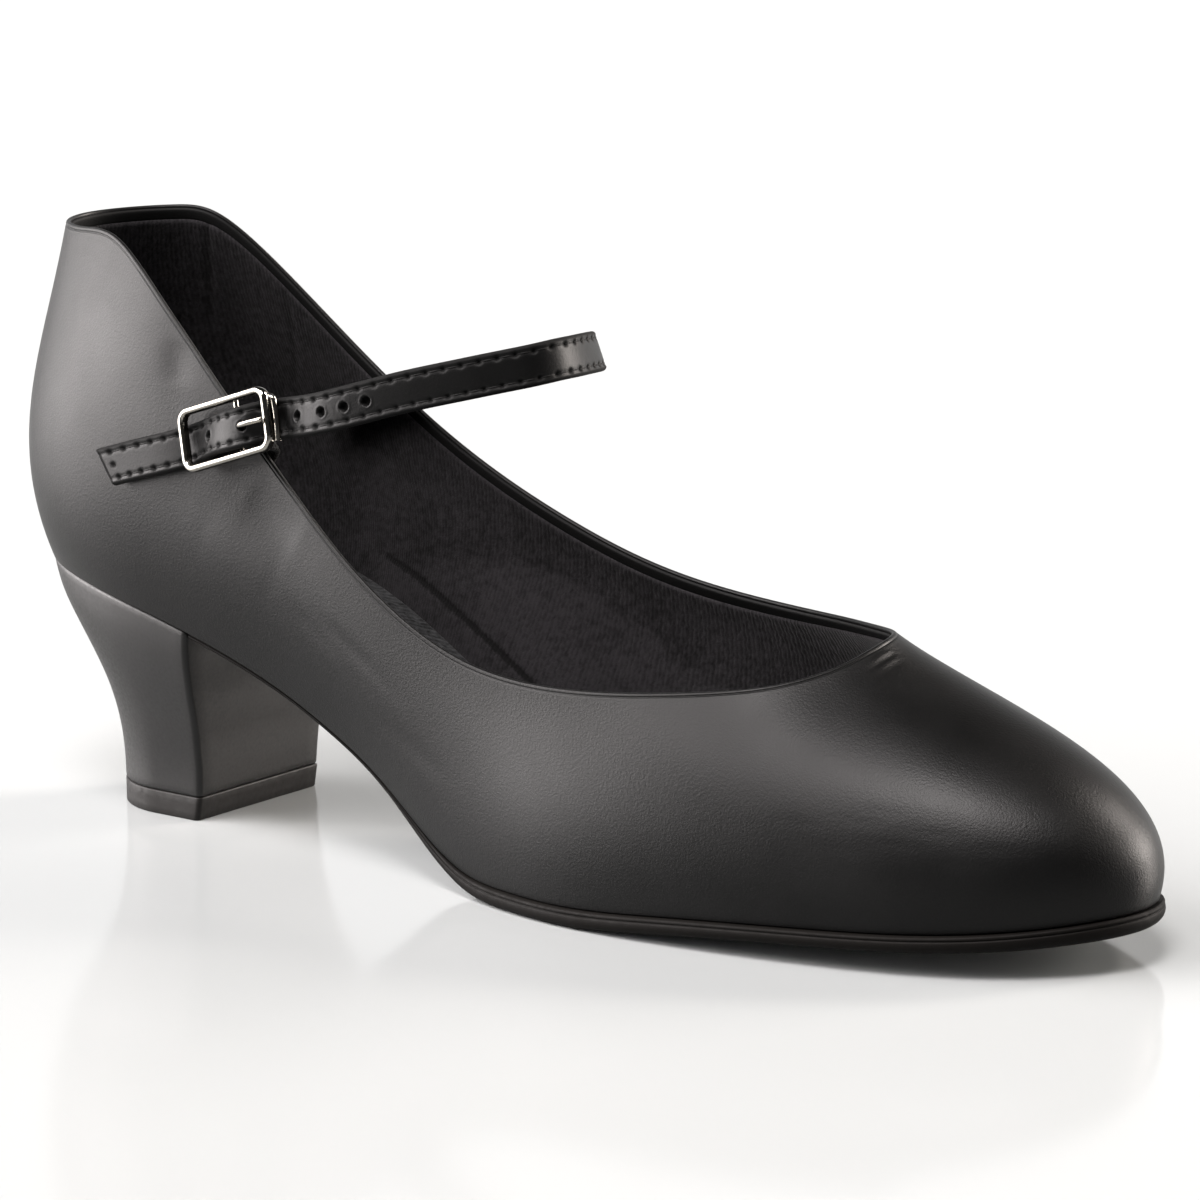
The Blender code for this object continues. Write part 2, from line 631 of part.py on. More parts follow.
def main():
    """Build every piece, then centre the shoe over the origin."""
    for old in list(bpy.data.objects):
        bpy.data.objects.remove(old, do_unlink=True)
    leather = material("black_leather", (0.012, 0.012, 0.013), 0.5)
    strap_leather = material("black_strap_leather", (0.014, 0.014, 0.015), 0.45)
    block = material("covered_heel", (0.014, 0.013, 0.013), 0.55)
    rubber = material("black_rubber", (0.02, 0.019, 0.018), 0.7)
    resin = material("black_sole", (0.018, 0.017, 0.016), 0.6)
    lining = material("black_lining", (0.02, 0.02, 0.022), 0.9)
    elastic = material("black_elastic", (0.012, 0.012, 0.013), 0.85)
    metal = material("polished_nickel", (0.78, 0.76, 0.72), 0.16, 1.0)
    pieces = [build_upper(leather), build_insole(lining), build_outsole(resin),
              build_heel(block), build_top_lift(rubber), build_strap(strap_leather),
              build_anchor(elastic), build_buckle(metal), build_prong(metal)]
    places = np.vstack([[v.co[:] for v in p.data.vertices] for p in pieces])
    low, high = places.min(0), places.max(0)
    shift = np.array([(low[0] + high[0]) / 2, (low[1] + high[1]) / 2, low[2]])
    for body in bpy.data.objects:
        for vertex in body.data.vertices:
            vertex.co = [c - d for c, d in zip(vertex.co, shift)]


main()
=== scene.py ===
"""Character shoe, right foot: leather, lining, sole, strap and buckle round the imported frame.

Tables are millimetres in the last's own frame: X runs forward from the rearmost point of
the heel bulge, -Y is the outer side of the foot, Z is up from the floor.
"""
import math

import bpy
import numpy as np
from mathutils import Matrix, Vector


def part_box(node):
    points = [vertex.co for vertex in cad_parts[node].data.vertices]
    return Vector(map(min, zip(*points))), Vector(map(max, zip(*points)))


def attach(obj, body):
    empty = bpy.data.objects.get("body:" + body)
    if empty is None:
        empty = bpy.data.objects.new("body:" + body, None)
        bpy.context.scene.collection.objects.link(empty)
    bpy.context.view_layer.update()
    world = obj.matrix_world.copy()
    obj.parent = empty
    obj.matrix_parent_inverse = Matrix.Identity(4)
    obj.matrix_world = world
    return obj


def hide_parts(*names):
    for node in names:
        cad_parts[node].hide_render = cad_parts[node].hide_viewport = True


bl_info = {
    "name": "Character Shoe",
    "version": (1, 0, 0),
    "blender": (4, 5, 0),
    "location": "View3D > Sidebar > Shoe",
    "description": "Dresses a character shoe: leather, lining, sole, strap, buckle and studio",
    "category": "Mesh",
}

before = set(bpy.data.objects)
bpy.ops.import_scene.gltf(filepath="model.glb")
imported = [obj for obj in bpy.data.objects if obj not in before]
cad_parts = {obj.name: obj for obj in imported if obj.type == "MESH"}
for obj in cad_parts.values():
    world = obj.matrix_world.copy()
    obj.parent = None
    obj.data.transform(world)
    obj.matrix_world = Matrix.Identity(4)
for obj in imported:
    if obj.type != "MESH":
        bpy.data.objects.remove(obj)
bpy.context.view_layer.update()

MM = 0.001
# Where the last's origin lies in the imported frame, from the outsole's back and the
# outer side of the top lift.
SHIFT = np.array([52.6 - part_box("outsole")[0][0] / MM, -17.1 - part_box("top_lift")[0][1] / MM, 0.0])

GAP = 0.3
WALL = 1.8
INSOLE_THICKNESS = 2.8
TOP_LIFT_THICKNESS = 4.5
HEEL_BREAST = 52.3
HEEL_CORNER = 1.1
LIFT_BACK = 18.6
LIFT_FRONT = 45.8
LIFT_HALF_WIDTH = 17.1
STRAP_WIDTH = 7.4
STRAP_THICKNESS = 1.6
STRAP_END_SKEW = 0.43
STRAP_SKEW_REACH = 9.0
STRAP_SOFT_EDGE = 0.55
FRAME_LENGTH = 22.2
FRAME_HEIGHT = 11.8
RAIL_WIDTH = 1.35
RAIL_DEPTH = 2.0
FRAME_CORNER = 2.6
BAR_RADIUS = 0.5
PRONG_RADIUS = 0.5
FRAME_CENTRE = (69.5, -33.0, 78.75)
FRAME_RISE = 18.6
FRAME_LEAN = 11.0
BAR_ALONG = 2.5
BAR_OUT = -0.8
PRONG_BELOW = -0.45

# One row for each rib round the last: the way it faces in plan (0 toe, 90 outer side),
# its foot, outward lean and pull there, its topline point, inward slope and pull there.
RIBS = np.array([
    # faces foot_x foot_y lean pull top_x top_y top_z slope pull
    (0, 239.5, 4.0, 17, 24, 187.2, 1.5, 48.9, 37, 17),
    (30, 235.0, -7.0, 16, 23, 186.2, -4.5, 47.4, 38, 16),
    (54, 221.0, -19.0, 14, 20, 183.6, -10.5, 45.7, 40, 15),
    (74, 196.0, -28.0, 12, 17, 177.0, -18.5, 43.8, 45, 14),
    (86, 168.0, -32.5, 13, 16, 163.0, -25.5, 42.1, 56, 12),
    (90, 140.0, -33.0, 14, 15, 142.0, -29.5, 40.6, 70, 12),
    (90, 114.0, -27.5, 18, 14, 118.0, -30.5, 43.7, 80, 14),
    (90, 90.0, -24.3, 22, 16, 96.0, -30.5, 56.0, 84, 16),
    (92, 66.0, -25.6, 22, 20, 72.0, -28.5, 76.5, 84, 20),
    (98, 48.0, -26.5, 22, 23, 46.0, -25.0, 99.8, 80, 22),
    (108, 34.0, -26.0, 22, 25, 32.0, -20.5, 108.0, 78, 24),
    (130, 17.5, -21.0, 22, 25, 19.0, -15.5, 108.2, 78, 24),
    (155, 6.6, -12.0, 21, 25, 9.0, -9.0, 107.8, 78, 24),
    (180, 3.0, 0.0, 20, 25, 5.0, 0.5, 107.8, 78, 24),
    (205, 6.6, 12.0, 21, 25, 8.0, 9.5, 108.0, 78, 24),
    (230, 17.5, 21.0, 22, 25, 14.0, 16.0, 108.2, 78, 24),
    (252, 34.0, 25.0, 22, 25, 22.0, 20.0, 106.4, 78, 24),
    (262, 48.0, 24.8, 22, 23, 34.0, 24.6, 96.0, 80, 22),
    (266, 58.0, 23.8, 22, 22, 48.0, 27.5, 83.5, 82, 20),
    (268, 70.0, 22.0, 22, 20, 66.0, 29.2, 70.2, 84, 18),
    (270, 92.0, 19.0, 26, 20, 94.0, 30.5, 56.2, 80, 16),
    (270, 116.0, 20.5, 26, 19, 118.0, 31.0, 48.8, 74, 15),
    (272, 142.0, 29.5, 18, 18, 143.0, 29.5, 46.2, 60, 13),
    (280, 170.0, 34.5, 15, 17, 163.0, 24.0, 46.8, 48, 14),
    (297, 198.0, 33.5, 14, 18, 176.0, 17.0, 48.1, 43, 14),
    (318, 222.0, 25.0, 15, 21, 182.9, 12.0, 49.0, 40, 14),
    (340, 235.5, 15.0, 17, 24, 186.2, 7.0, 49.4, 38, 16),
], float)

SEAT_LINE = np.array([
    # x z
    (0, 47.0), (10, 46.0), (22, 44.7), (38, 42.1), (52, 38.6), (63, 35.0), (74, 30.3),
    (85, 24.5), (97, 17.3), (110, 8.4), (119, 4.6), (130, 3.6), (150, 3.9), (165, 5.0),
    (190, 6.5), (212, 7.5), (228, 8.8), (241, 10.4),
], float)

OUTSOLE = np.array([
    # x thickness welt
    (52, 1.3, -0.6), (75, 1.3, -0.5), (97, 1.5, -0.2), (110, 2.4, 0.3), (122, 3.2, 0.8),
    (130, 3.3, 1.0), (150, 3.3, 1.1), (165, 3.1, 1.2), (190, 2.9, 1.3), (212, 3.0, 1.3),
    (228, 3.2, 1.2), (241, 3.4, 1.0),
], float)
TREAD_FLAT = (127.0, 149.0)
# The sole's edge from bottom to top: part of the thickness, part of the way out.
SOLE_EDGE = np.array([
    # part out
    (0.0, -1.6), (0.05, -1.0), (0.13, -0.55), (0.24, -0.22), (0.38, -0.05), (0.52, 0.0),
    (0.64, -0.03), (0.70, -0.1), (0.735, -0.26), (0.77, -0.28), (0.81, -0.14), (0.87, -0.12),
    (0.93, -0.2), (1.0, -0.5),
], float)

HEEL = np.array([
    # part back front outer inner seat_shape
    (0.00, 18.7, 46.6, 17.2, 16.3, 0.00),
    (0.15, 18.7, 47.5, 18.1, 15.9, 0.05),
    (0.30, 18.1, 48.3, 19.5, 15.9, 0.15),
    (0.45, 16.4, 49.2, 21.1, 16.4, 0.30),
    (0.60, 13.4, 50.0, 22.9, 17.4, 0.45),
    (0.75, 9.2, 50.9, 24.6, 19.2, 0.65),
    (0.88, 5.5, 51.6, 25.7, 21.6, 0.85),
    (1.00, 3.4, HEEL_BREAST, 26.2, 23.9, 1.00),
], float)

STRAP = np.array([
    # x y z lean
    (39.4, -31.9, 68.4, 8), (48.0, -31.9, 71.0, 8), (56.5, -31.2, 73.5, 10),
    (60.5, -30.7, 74.9, 10), (65.5, -32.0, 77.0, 11), (71.9, -33.9, 79.2, 11),
    (76.0, -32.9, 80.5, 11), (80.0, -30.2, 81.4, 11), (87.0, -30.7, 82.9, 10),
    (96.0, -30.0, 85.4, 9), (105.0, -26.9, 88.2, 10), (114.0, -22.6, 90.6, 11),
    (121.1, -17.7, 92.4, 12), (124.7, -14.2, 93.3, 13), (126.4, -10.2, 93.8, 14),
    (126.2, -5.2, 93.7, 15), (124.8, -0.3, 93.3, 16), (122.7, 4.8, 92.7, 17),
    (120.2, 9.0, 92.0, 18), (115.8, 12.4, 90.8, 15), (106.0, 15.0, 88.1, 10),
    (92.0, 18.9, 84.3, 6), (77.0, 23.3, 80.2, 5),
    (66.0, 24.8, 77.3, 5), (57.0, 25.2, 74.9, 5), (50.0, 25.2, 73.0, 5),
    (44.0, 25.0, 71.3, 5),
], float)

# Punched holes: millimetres from the strap's cut end.
# Where the stitching turns at the slanting end.
FIRST_STITCH = 2.6
STRAP_HOLES = (27.4, 37.4, 49.2, 55.3, 60.1, 64.5)

ANCHOR_WIDTH = 8.6
ANCHOR = np.array([
    # x y z wide_x wide_y wide_z
    (60.5, -26.6, 63.5, 0.69, 0.00, -0.73),
    (64.5, -26.0, 67.8, 0.69, 0.00, -0.73),
    (68.3, -25.5, 72.0, 0.68, 0.00, -0.74),
    (71.3, -25.3, 75.6, 0.66, -0.02, -0.76),
    (73.4, -26.4, 78.0, 0.58, -0.06, -0.82),
    (73.9, -28.2, 78.8, 0.48, -0.12, -0.87),
    (73.3, -29.5, 79.2, 0.38, -0.17, -0.91),
], float)

PRONG = np.array([
    # along out
    (1.6, -1.75), (2.5, -2.1), (3.45, -1.75), (4.0, -0.8), (4.4, 0.3), (4.8, 1.35),
    (5.6, 2.15), (7.0, 2.3), (9.0, 2.0), (10.9, 1.85),
], float)

# Creases of the outer leather: ends, half width and depth (a ridge is
# negative). The throat's short folds, the vamp's fine wrinkles, the quarter's soft dents.
CREASES = np.array([
    # x0 y0 z0 x1 y1 z1 width depth
    (188.5, -3.8, 46.7, 188.9, 2.6, 48.0, 0.6, -0.17),
    (189.3, -4.0, 46.3, 189.6, 2.6, 47.6, 0.5, 0.16),
    (190.1, -4.2, 45.9, 190.3, 2.6, 47.2, 0.6, -0.14),
    (191.0, -4.0, 45.5, 191.2, 2.0, 46.7, 0.6, 0.10),
    (196.0, -28.8, 21.5, 205.0, -26.3, 20.8, 1.0, 0.03),
    (188.0, -29.5, 25.0, 197.0, -27.6, 24.4, 1.1, 0.03),
    (198.0, -27.2, 26.5, 206.0, -24.8, 26.0, 1.0, 0.03),
    (203.0, -25.9, 22.6, 213.0, -22.0, 22.0, 0.9, 0.03),
    (210.0, -23.5, 25.4, 219.0, -19.6, 24.6, 1.0, 0.03),
    (214.0, -22.2, 19.8, 224.0, -17.0, 19.2, 0.9, 0.03),
    (220.0, -19.2, 22.8, 228.0, -13.5, 22.0, 0.9, 0.03),
    (206.0, -25.8, 17.6, 216.0, -22.2, 17.0, 1.0, 0.03),
    (222.0, -18.2, 17.6, 229.0, -13.0, 17.0, 0.9, 0.03),
    (201.0, -26.5, 29.0, 210.0, -23.0, 28.3, 1.1, 0.03),
    (52.4, -26.8, 92.5, 53.6, -27.8, 84.0, 3.6, 0.40),
    (71.0, -29.6, 67.0, 84.0, -30.2, 60.0, 5.0, 0.50),
    (62.0, -28.5, 60.0, 78.0, -30.2, 52.0, 6.0, -0.25),
    (82.0, -30.4, 48.0, 92.0, -30.6, 40.5, 1.7, 0.12),
    (88.0, -30.5, 47.5, 101.0, -30.8, 38.5, 1.6, 0.12),
    (93.0, -31.0, 44.5, 107.5, -31.3, 34.5, 1.8, 0.10),
    (100.0, -31.0, 30.0, 118.0, -32.5, 22.0, 2.4, 0.12),
    (46.0, -26.0, 70.0, 60.0, -28.0, 62.0, 4.0, 0.15),
], float)

# Seams of the lining on its inner wall: X, Z of a line of stitching running down.
LINING_SEAMS = np.array([
    # x0 z0 x1 z1
    (35.0, 96.0, 33.6, 70.0),
    (20.4, 107.0, 16.5, 84.0),
], float)
# Where the sock's raised edge meets the inner wall: X range and height over the seat.
SOCK_EDGE = (54.0, 97.0, 7.6)
# Upper limit of the paler ribbed band of the inner wall: X and Z.
RIBBED_BAND = np.array([
    (60, 44.0), (82, 46.1), (94, 44.5), (104, 41.2), (116, 35.8), (127, 29.1), (150, 21.0),
], float)


def unit(a):
    """Vectors divided by their own length."""
    a = np.asarray(a, float)
    return a / np.linalg.norm(a, axis=-1, keepdims=True)


def run_along(path):
    """Length from the first point of a path to each of its points."""
    return np.concatenate([[0], np.cumsum(np.linalg.norm(np.diff(path, axis=0), axis=1))])


def spline(xk, yk, x, period=None):
    """Cubic spline through the knots, natural at the ends or closed with a period."""
    xk = np.asarray(xk, float)
    yk = np.asarray(yk, float).reshape(len(xk), -1)
    x = np.asarray(x, float)
    n = len(xk)
    if period:
        xe = np.append(xk, xk[0] + period)
        ye = np.vstack([yk, yk[:1]])
        x = xe[0] + np.mod(x - xe[0], period)
    else:
        xe, ye = xk, yk
    h = np.diff(xe)
    slope = np.diff(ye, axis=0) / h[:, None]
    a = np.zeros((n, n))
    b = np.zeros((n, ye.shape[1]))
    for i in range(n):
        if period:
            a[i, i - 1] += h[i - 1]
            a[i, i] += 2 * (h[i - 1] + h[i])
            a[i, (i + 1) % n] += h[i]
            b[i] = 6 * (slope[i] - slope[i - 1])
        elif 0 < i < n - 1:
            a[i, i - 1] = h[i - 1]
            a[i, i] = 2 * (h[i - 1] + h[i])
            a[i, i + 1] = h[i]
            b[i] = 6 * (slope[i] - slope[i - 1])
        else:
            a[i, i] = 1
    m = np.linalg.solve(a, b)
    if period:
        m = np.vstack([m, m[:1]])
    k = np.clip(np.searchsorted(xe, x, side="right") - 1, 0, len(h) - 1)
    t = (x - xe[k])[:, None]
    r = (xe[k + 1] - x)[:, None]
    hk = h[k][:, None]
    return ((m[k] * r ** 3 + m[k + 1] * t ** 3) / (6 * hk)
            + (ye[k] / hk - m[k] * hk / 6) * r
            + (ye[k + 1] / hk - m[k + 1] * hk / 6) * t)


def seat_line(x):
    """Height of the upper's bottom edge at X: the spline through SEAT_LINE."""
    x = np.asarray(x, float)
    return spline(SEAT_LINE[:, 0], SEAT_LINE[:, 1], np.ravel(x))[:, 0].reshape(x.shape)


def ribs_at(u):
    """Rib rows at the fractions u round the last: a closed spline through RIBS."""
    foot = RIBS[:, 1:3]
    top = RIBS[:, 5:8]
    step = (np.linalg.norm(np.roll(foot, -1, 0) - foot, axis=1)
            + 0.5 * np.linalg.norm(np.roll(top, -1, 0) - top, axis=1))
    knots = np.concatenate([[0], np.cumsum(step)])
    around = knots[-1]
    knots = knots[:-1]
    table = RIBS.copy()
    table[:, 0] -= 360 * knots / around
    rows = spline(knots, table, np.asarray(u) * around, period=around)
    rows[:, 0] += 360 * np.asarray(u)
    return rows


def upper_surface(u, v):
    """Outer face of the upper: at each u a cubic Bezier rib from foot (v=0) to topline."""
    row = ribs_at(u)
    face, lean, slope = np.radians(row[:, [0, 3, 8]]).T
    out = np.stack([np.cos(face), -np.sin(face), np.zeros_like(face)], 1)
    up = np.array([0.0, 0.0, 1.0])
    foot = np.column_stack([row[:, 1:3], seat_line(row[:, 1])])
    top = row[:, 5:8]
    low = foot + row[:, 4:5] * (np.sin(lean)[:, None] * out + np.cos(lean)[:, None] * up)
    high = top + row[:, 9:10] * (np.cos(slope)[:, None] * out - np.sin(slope)[:, None] * up)
    v = np.asarray(v, float)
    v = v[None, :, None] if v.ndim == 1 else v[:, :, None]
    return (foot[:, None] * (1 - v) ** 3 + 3 * low[:, None] * v * (1 - v) ** 2
            + 3 * high[:, None] * v ** 2 * (1 - v) + top[:, None] * v ** 3)


def grid_normals(s):
    """Outward unit normals of a surface grid that is closed along its first axis."""
    along = np.roll(s, -1, 0) - np.roll(s, 1, 0)
    across = np.gradient(s, axis=1)
    return unit(np.cross(across, along))


def outer_face(u, v):
    """Points of the upper's outer face and their outward unit normals."""
    outer = upper_surface(u, v)
    normals = -grid_normals(outer)
    row = outer[:, 40] - outer[:, 40].mean(0)
    return outer, normals * np.sign(np.sum(normals[:, 40] * row, -1).mean())


def outline(inset, lift=0.0, count=720):
    """Foot of the upper in plan, moved in by inset, or its inner wall that far up."""
    u = np.linspace(0, 1, count, endpoint=False)
    outer = upper_surface(u, np.linspace(0, 1, 61) if lift else np.zeros(1))
    if lift:
        inner = outer - WALL * grid_normals(outer)
        inner[:, 0, 2] = seat_line(inner[:, 0, 0])
        k = np.argmax(inner[:, :, 2] - inner[:, :1, 2] > lift, axis=1)
        line = inner[np.arange(len(u)), k, :2]
    else:
        line = outer[:, 0, :2]
    ahead = unit(np.roll(line, -1, 0) - np.roll(line, 1, 0))
    return line - inset * np.stack([-ahead[:, 1], ahead[:, 0]], 1)


def side_at(line, x, outer_side):
    """Y of a plan outline's outer or inner side at each X."""
    tip = int(np.argmax(line[:, 0]))
    heel = int(np.argmin(line[:, 0]))
    ring = np.roll(line, -tip, 0)
    back = (heel - tip) % len(line)
    run = ring[:back + 1] if outer_side else np.vstack([ring[back:], ring[:1]])
    run = run[np.argsort(run[:, 0], kind="stable")]
    return np.interp(x, run[:, 0], run[:, 1])


def buckle_axes():
    """Directions along the strap, across it and outward at the buckle."""
    rise = math.radians(FRAME_RISE)
    lean = math.radians(FRAME_LEAN)
    along = np.array([math.cos(rise), 0.0, math.sin(rise)])
    up = np.array([-math.sin(rise), 0.0, math.cos(rise)])
    out = np.cross(along, up)
    return along, math.cos(lean) * up - math.sin(lean) * out, math.sin(lean) * up + math.cos(lean) * out


def buckle_point(along, across, out):
    """Places given in the buckle's own directions, from the frame's centre."""
    a, w, n = buckle_axes()
    along, across, out = np.broadcast_arrays(along, across, out)
    return (np.array(FRAME_CENTRE) + along[..., None] * a + across[..., None] * w
            + out[..., None] * n)


def smooth(edge0, edge1, x):
    """Rises from 0 at edge0 to 1 at edge1 as 3t^2 - 2t^3."""
    t = np.clip((x - edge0) / (edge1 - edge0), 0, 1)
    return t * t * (3 - 2 * t)


# Meshes

def grid_faces(grid, wrap_u, wrap_v):
    """Quads between neighbouring grid points, as unwrapped row and column numbers."""
    n, m = grid.shape[:2]
    i, j = np.meshgrid(np.arange(n if wrap_u else n - 1), np.arange(m if wrap_v else m - 1),
                       indexing="ij")
    i, j = i.ravel(), j.ravel()
    rows = np.stack([i, i + 1, i + 1, i], 1)
    cols = np.stack([j, j, j + 1, j + 1], 1)
    return rows, cols


def add_mesh(name, skins, material, nodes=(), sharp=60):
    """One object from skins: (grid, wrap_u, wrap_v, caps, uv, tint) each, faces outward.

    A skin is a grid of points joined by quads. Caps close the two ends of a tube with
    one face each, or where they are "paired" with quads from each column to the one that
    mirrors it. uv and tint are values at the grid's points, for the material.
    """
    points, faces, loops_uv, tints = [], [], [], []
    start = 0
    for skin in skins:
        grid, wrap_u, wrap_v, caps, uv, tint = (list(skin) + [None] * 6)[:6]
        n, m = grid.shape[:2]
        rows, cols = grid_faces(grid, wrap_u, wrap_v)
        quads = (rows % n) * m + cols % m
        p = grid.reshape(-1, 3)
        volume = np.sum(p[quads[:, 0]] * (np.cross(p[quads[:, 1]], p[quads[:, 2]])
                                          + np.cross(p[quads[:, 2]], p[quads[:, 3]])))
        if uv is None:
            uv = np.zeros((n, m, 2))
        wide = np.concatenate([uv, uv[:1] + (uv[-1:] - uv[-2:-1]) + (uv[-1:] - uv[:1])], 0)
        wide = np.concatenate([wide, wide[:, -1:] * 2 - wide[:, -2:-1]], 1)
        corner = wide[rows, cols]
        if volume < 0:
            quads, corner = quads[:, ::-1], corner[:, ::-1]
        new = (quads + start).tolist()
        flat = corner.reshape(-1, 2)
        if caps == "paired":
            k = np.arange(m // 2 - 1)
            first = np.stack([k, k + 1, m - 2 - k, m - 1 - k], 1)
            ends = np.vstack([first + (n - 1) * m, first[:, ::-1]])
            if volume < 0:
                ends = ends[:, ::-1]
            new += (ends + start).tolist()
            flat = np.vstack([flat, uv.reshape(-1, 2)[ends].reshape(-1, 2)])
        elif caps:
            first = list(range(start, start + m))
            last = list(range(start + (n - 1) * m, start + n * m))
            if volume < 0:
                new += [last[::-1], first]
            else:
                new += [last, first[::-1]]
            flat = np.vstack([flat, np.repeat(uv[-1:, 0], m, 0), np.repeat(uv[:1, 0], m, 0)])
        points.append(p)
        faces += new
        loops_uv.append(flat)
        tints.append(np.zeros(n * m) if tint is None else np.ravel(tint))
        start += n * m
    mesh = bpy.data.meshes.new(name)
    mesh.from_pydata(((np.vstack(points) - SHIFT) * MM).tolist(), [], faces)
    layer = mesh.uv_layers.new(name="surface")
    layer.data.foreach_set("uv", np.vstack(loops_uv).astype(np.float32).ravel())
    shade = mesh.attributes.new("tint", "FLOAT", "POINT")
    shade.data.foreach_set("value", np.concatenate(tints).astype(np.float32))
    mesh.update()
    mesh.shade_smooth()
    mesh.set_sharp_from_angle(angle=math.radians(sharp))
    mesh.materials.append(material)
    piece = bpy.data.objects.new(name, mesh)
    bpy.context.scene.collection.objects.link(piece)
    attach(piece, "root")
    if nodes:
        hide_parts(*nodes)
    return piece


# Materials

def finish(name, colour, roughness, metallic=0.0, specular=0.5, sheen=0.0):
    """A Principled material with its even values on the shader's own sockets."""
    m = bpy.data.materials.new(name)
    m.use_nodes = True
    shader = m.node_tree.nodes["Principled BSDF"]
    shader.inputs["Base Color"].default_value = (*colour, 1.0)
    shader.inputs["Roughness"].default_value = roughness
    shader.inputs["Metallic"].default_value = metallic
    shader.inputs["Specular IOR Level"].default_value = specular
    shader.inputs["Sheen Weight"].default_value = sheen
    shader.inputs["Sheen Roughness"].default_value = 0.4
    m.diffuse_color = (*colour, 1.0)
    return m


def node(m, kind, settings=None, **inputs):
    """A node with settings, its inputs linked from sockets or given as values."""
    made = m.node_tree.nodes.new(kind)
    for key, value in (settings or {}).items():
        setattr(made, key, value)
    for key, value in inputs.items():
        socket = made.inputs[int(key[1:])] if key[0] == "i" and key[1:].isdigit() else made.inputs[
            key.replace("_", " ")]
        if isinstance(value, bpy.types.NodeSocket):
            m.node_tree.links.new(value, socket)
        else:
            socket.default_value = value
    return made


def coordinates(m):
    """Object coordinates, in metres."""
    return node(m, "ShaderNodeTexCoord").outputs["Object"]


def ramp(m, value, low, high, out_low, out_high):
    """A value carried from one range to another, held at the ends."""
    return node(m, "ShaderNodeMapRange", None, Value=value, From_Min=low, From_Max=high,
                To_Min=out_low, To_Max=out_high).outputs[0]


def two_tones(m, share, dark, light):
    """A colour between dark and light by share."""
    return node(m, "ShaderNodeMix", {"data_type": "RGBA"}, i0=share, i6=(*dark, 1.0),
                i7=(*light, 1.0)).outputs[2]


def link_to_shader(m, colour=None, roughness=None, height=None, strength=0.3, distance=0.0002):
    """Link colour, roughness and bump height to the material's shader."""
    shader = m.node_tree.nodes["Principled BSDF"]
    links = m.node_tree.links
    if colour is not None:
        links.new(colour, shader.inputs["Base Color"])
    if roughness is not None:
        links.new(roughness, shader.inputs["Roughness"])
    if height is not None:
        bump = node(m, "ShaderNodeBump", None, Strength=strength, Distance=distance, Height=height)
        links.new(bump.outputs[0], shader.inputs["Normal"])


def sums(m, *sockets):
    """The sum of several values."""
    total = sockets[0]
    for socket in sockets[1:]:
        total = node(m, "ShaderNodeMath", {"operation": "ADD"}, i0=total, i1=socket).outputs[0]
    return total


def scaled(m, socket, factor):
    """A value times a number."""
    return node(m, "ShaderNodeMath", {"operation": "MULTIPLY"}, i0=socket, i1=factor).outputs[0]


def darkened(m, colour, share, deep):
    """A linked colour carried towards a deep one by share."""
    return node(m, "ShaderNodeMix", {"data_type": "RGBA"}, i0=share, i6=colour,
                i7=(*deep, 1.0)).outputs[2]


def leather_finish(name, colour, roughness, grain, specular=0.5, strength=0.27):
    """Matte black leather: pebble grain and pores in bump, soft patches; "tint" darkens towards black for
    dye and painted shade.
    """
    m = finish(name, colour, roughness, specular=specular)
    where = coordinates(m)
    pebble = node(m, "ShaderNodeTexVoronoi", {"feature": "SMOOTH_F1"}, Vector=where, Scale=1 / grain,
                  Smoothness=0.6).outputs["Distance"]
    pores = node(m, "ShaderNodeTexNoise", None, Vector=where, Scale=2.2 / grain, Detail=3.0).outputs["Fac"]
    patches = node(m, "ShaderNodeTexNoise", None, Vector=where, Scale=60.0, Detail=3.0).outputs["Fac"]
    painted_light_and_tone = node(m, "ShaderNodeAttribute", {"attribute_name": "tint"}).outputs["Fac"]
    tint = two_tones(m, ramp(m, patches, 0.35, 0.65, 0.0, 1.0), tuple(0.75 * c for c in colour),
                     tuple(1.3 * c for c in colour))
    rough = sums(m, ramp(m, patches, 0.3, 0.7, roughness - 0.04, roughness + 0.03),
                 scaled(m, pores, 0.1), scaled(m, painted_light_and_tone, 0.45))
    height = sums(m, scaled(m, pebble, 0.6), scaled(m, pores, 0.9))
    # The "tint" attribute carries the colour towards black: painted shade in the strap's pinholes and
    # holes, dye with painted shade along its edges.
    link_to_shader(m, darkened(m, tint, painted_light_and_tone, (0.0004, 0.0004, 0.0004)), rough, height, strength, 0.00012)
    return m


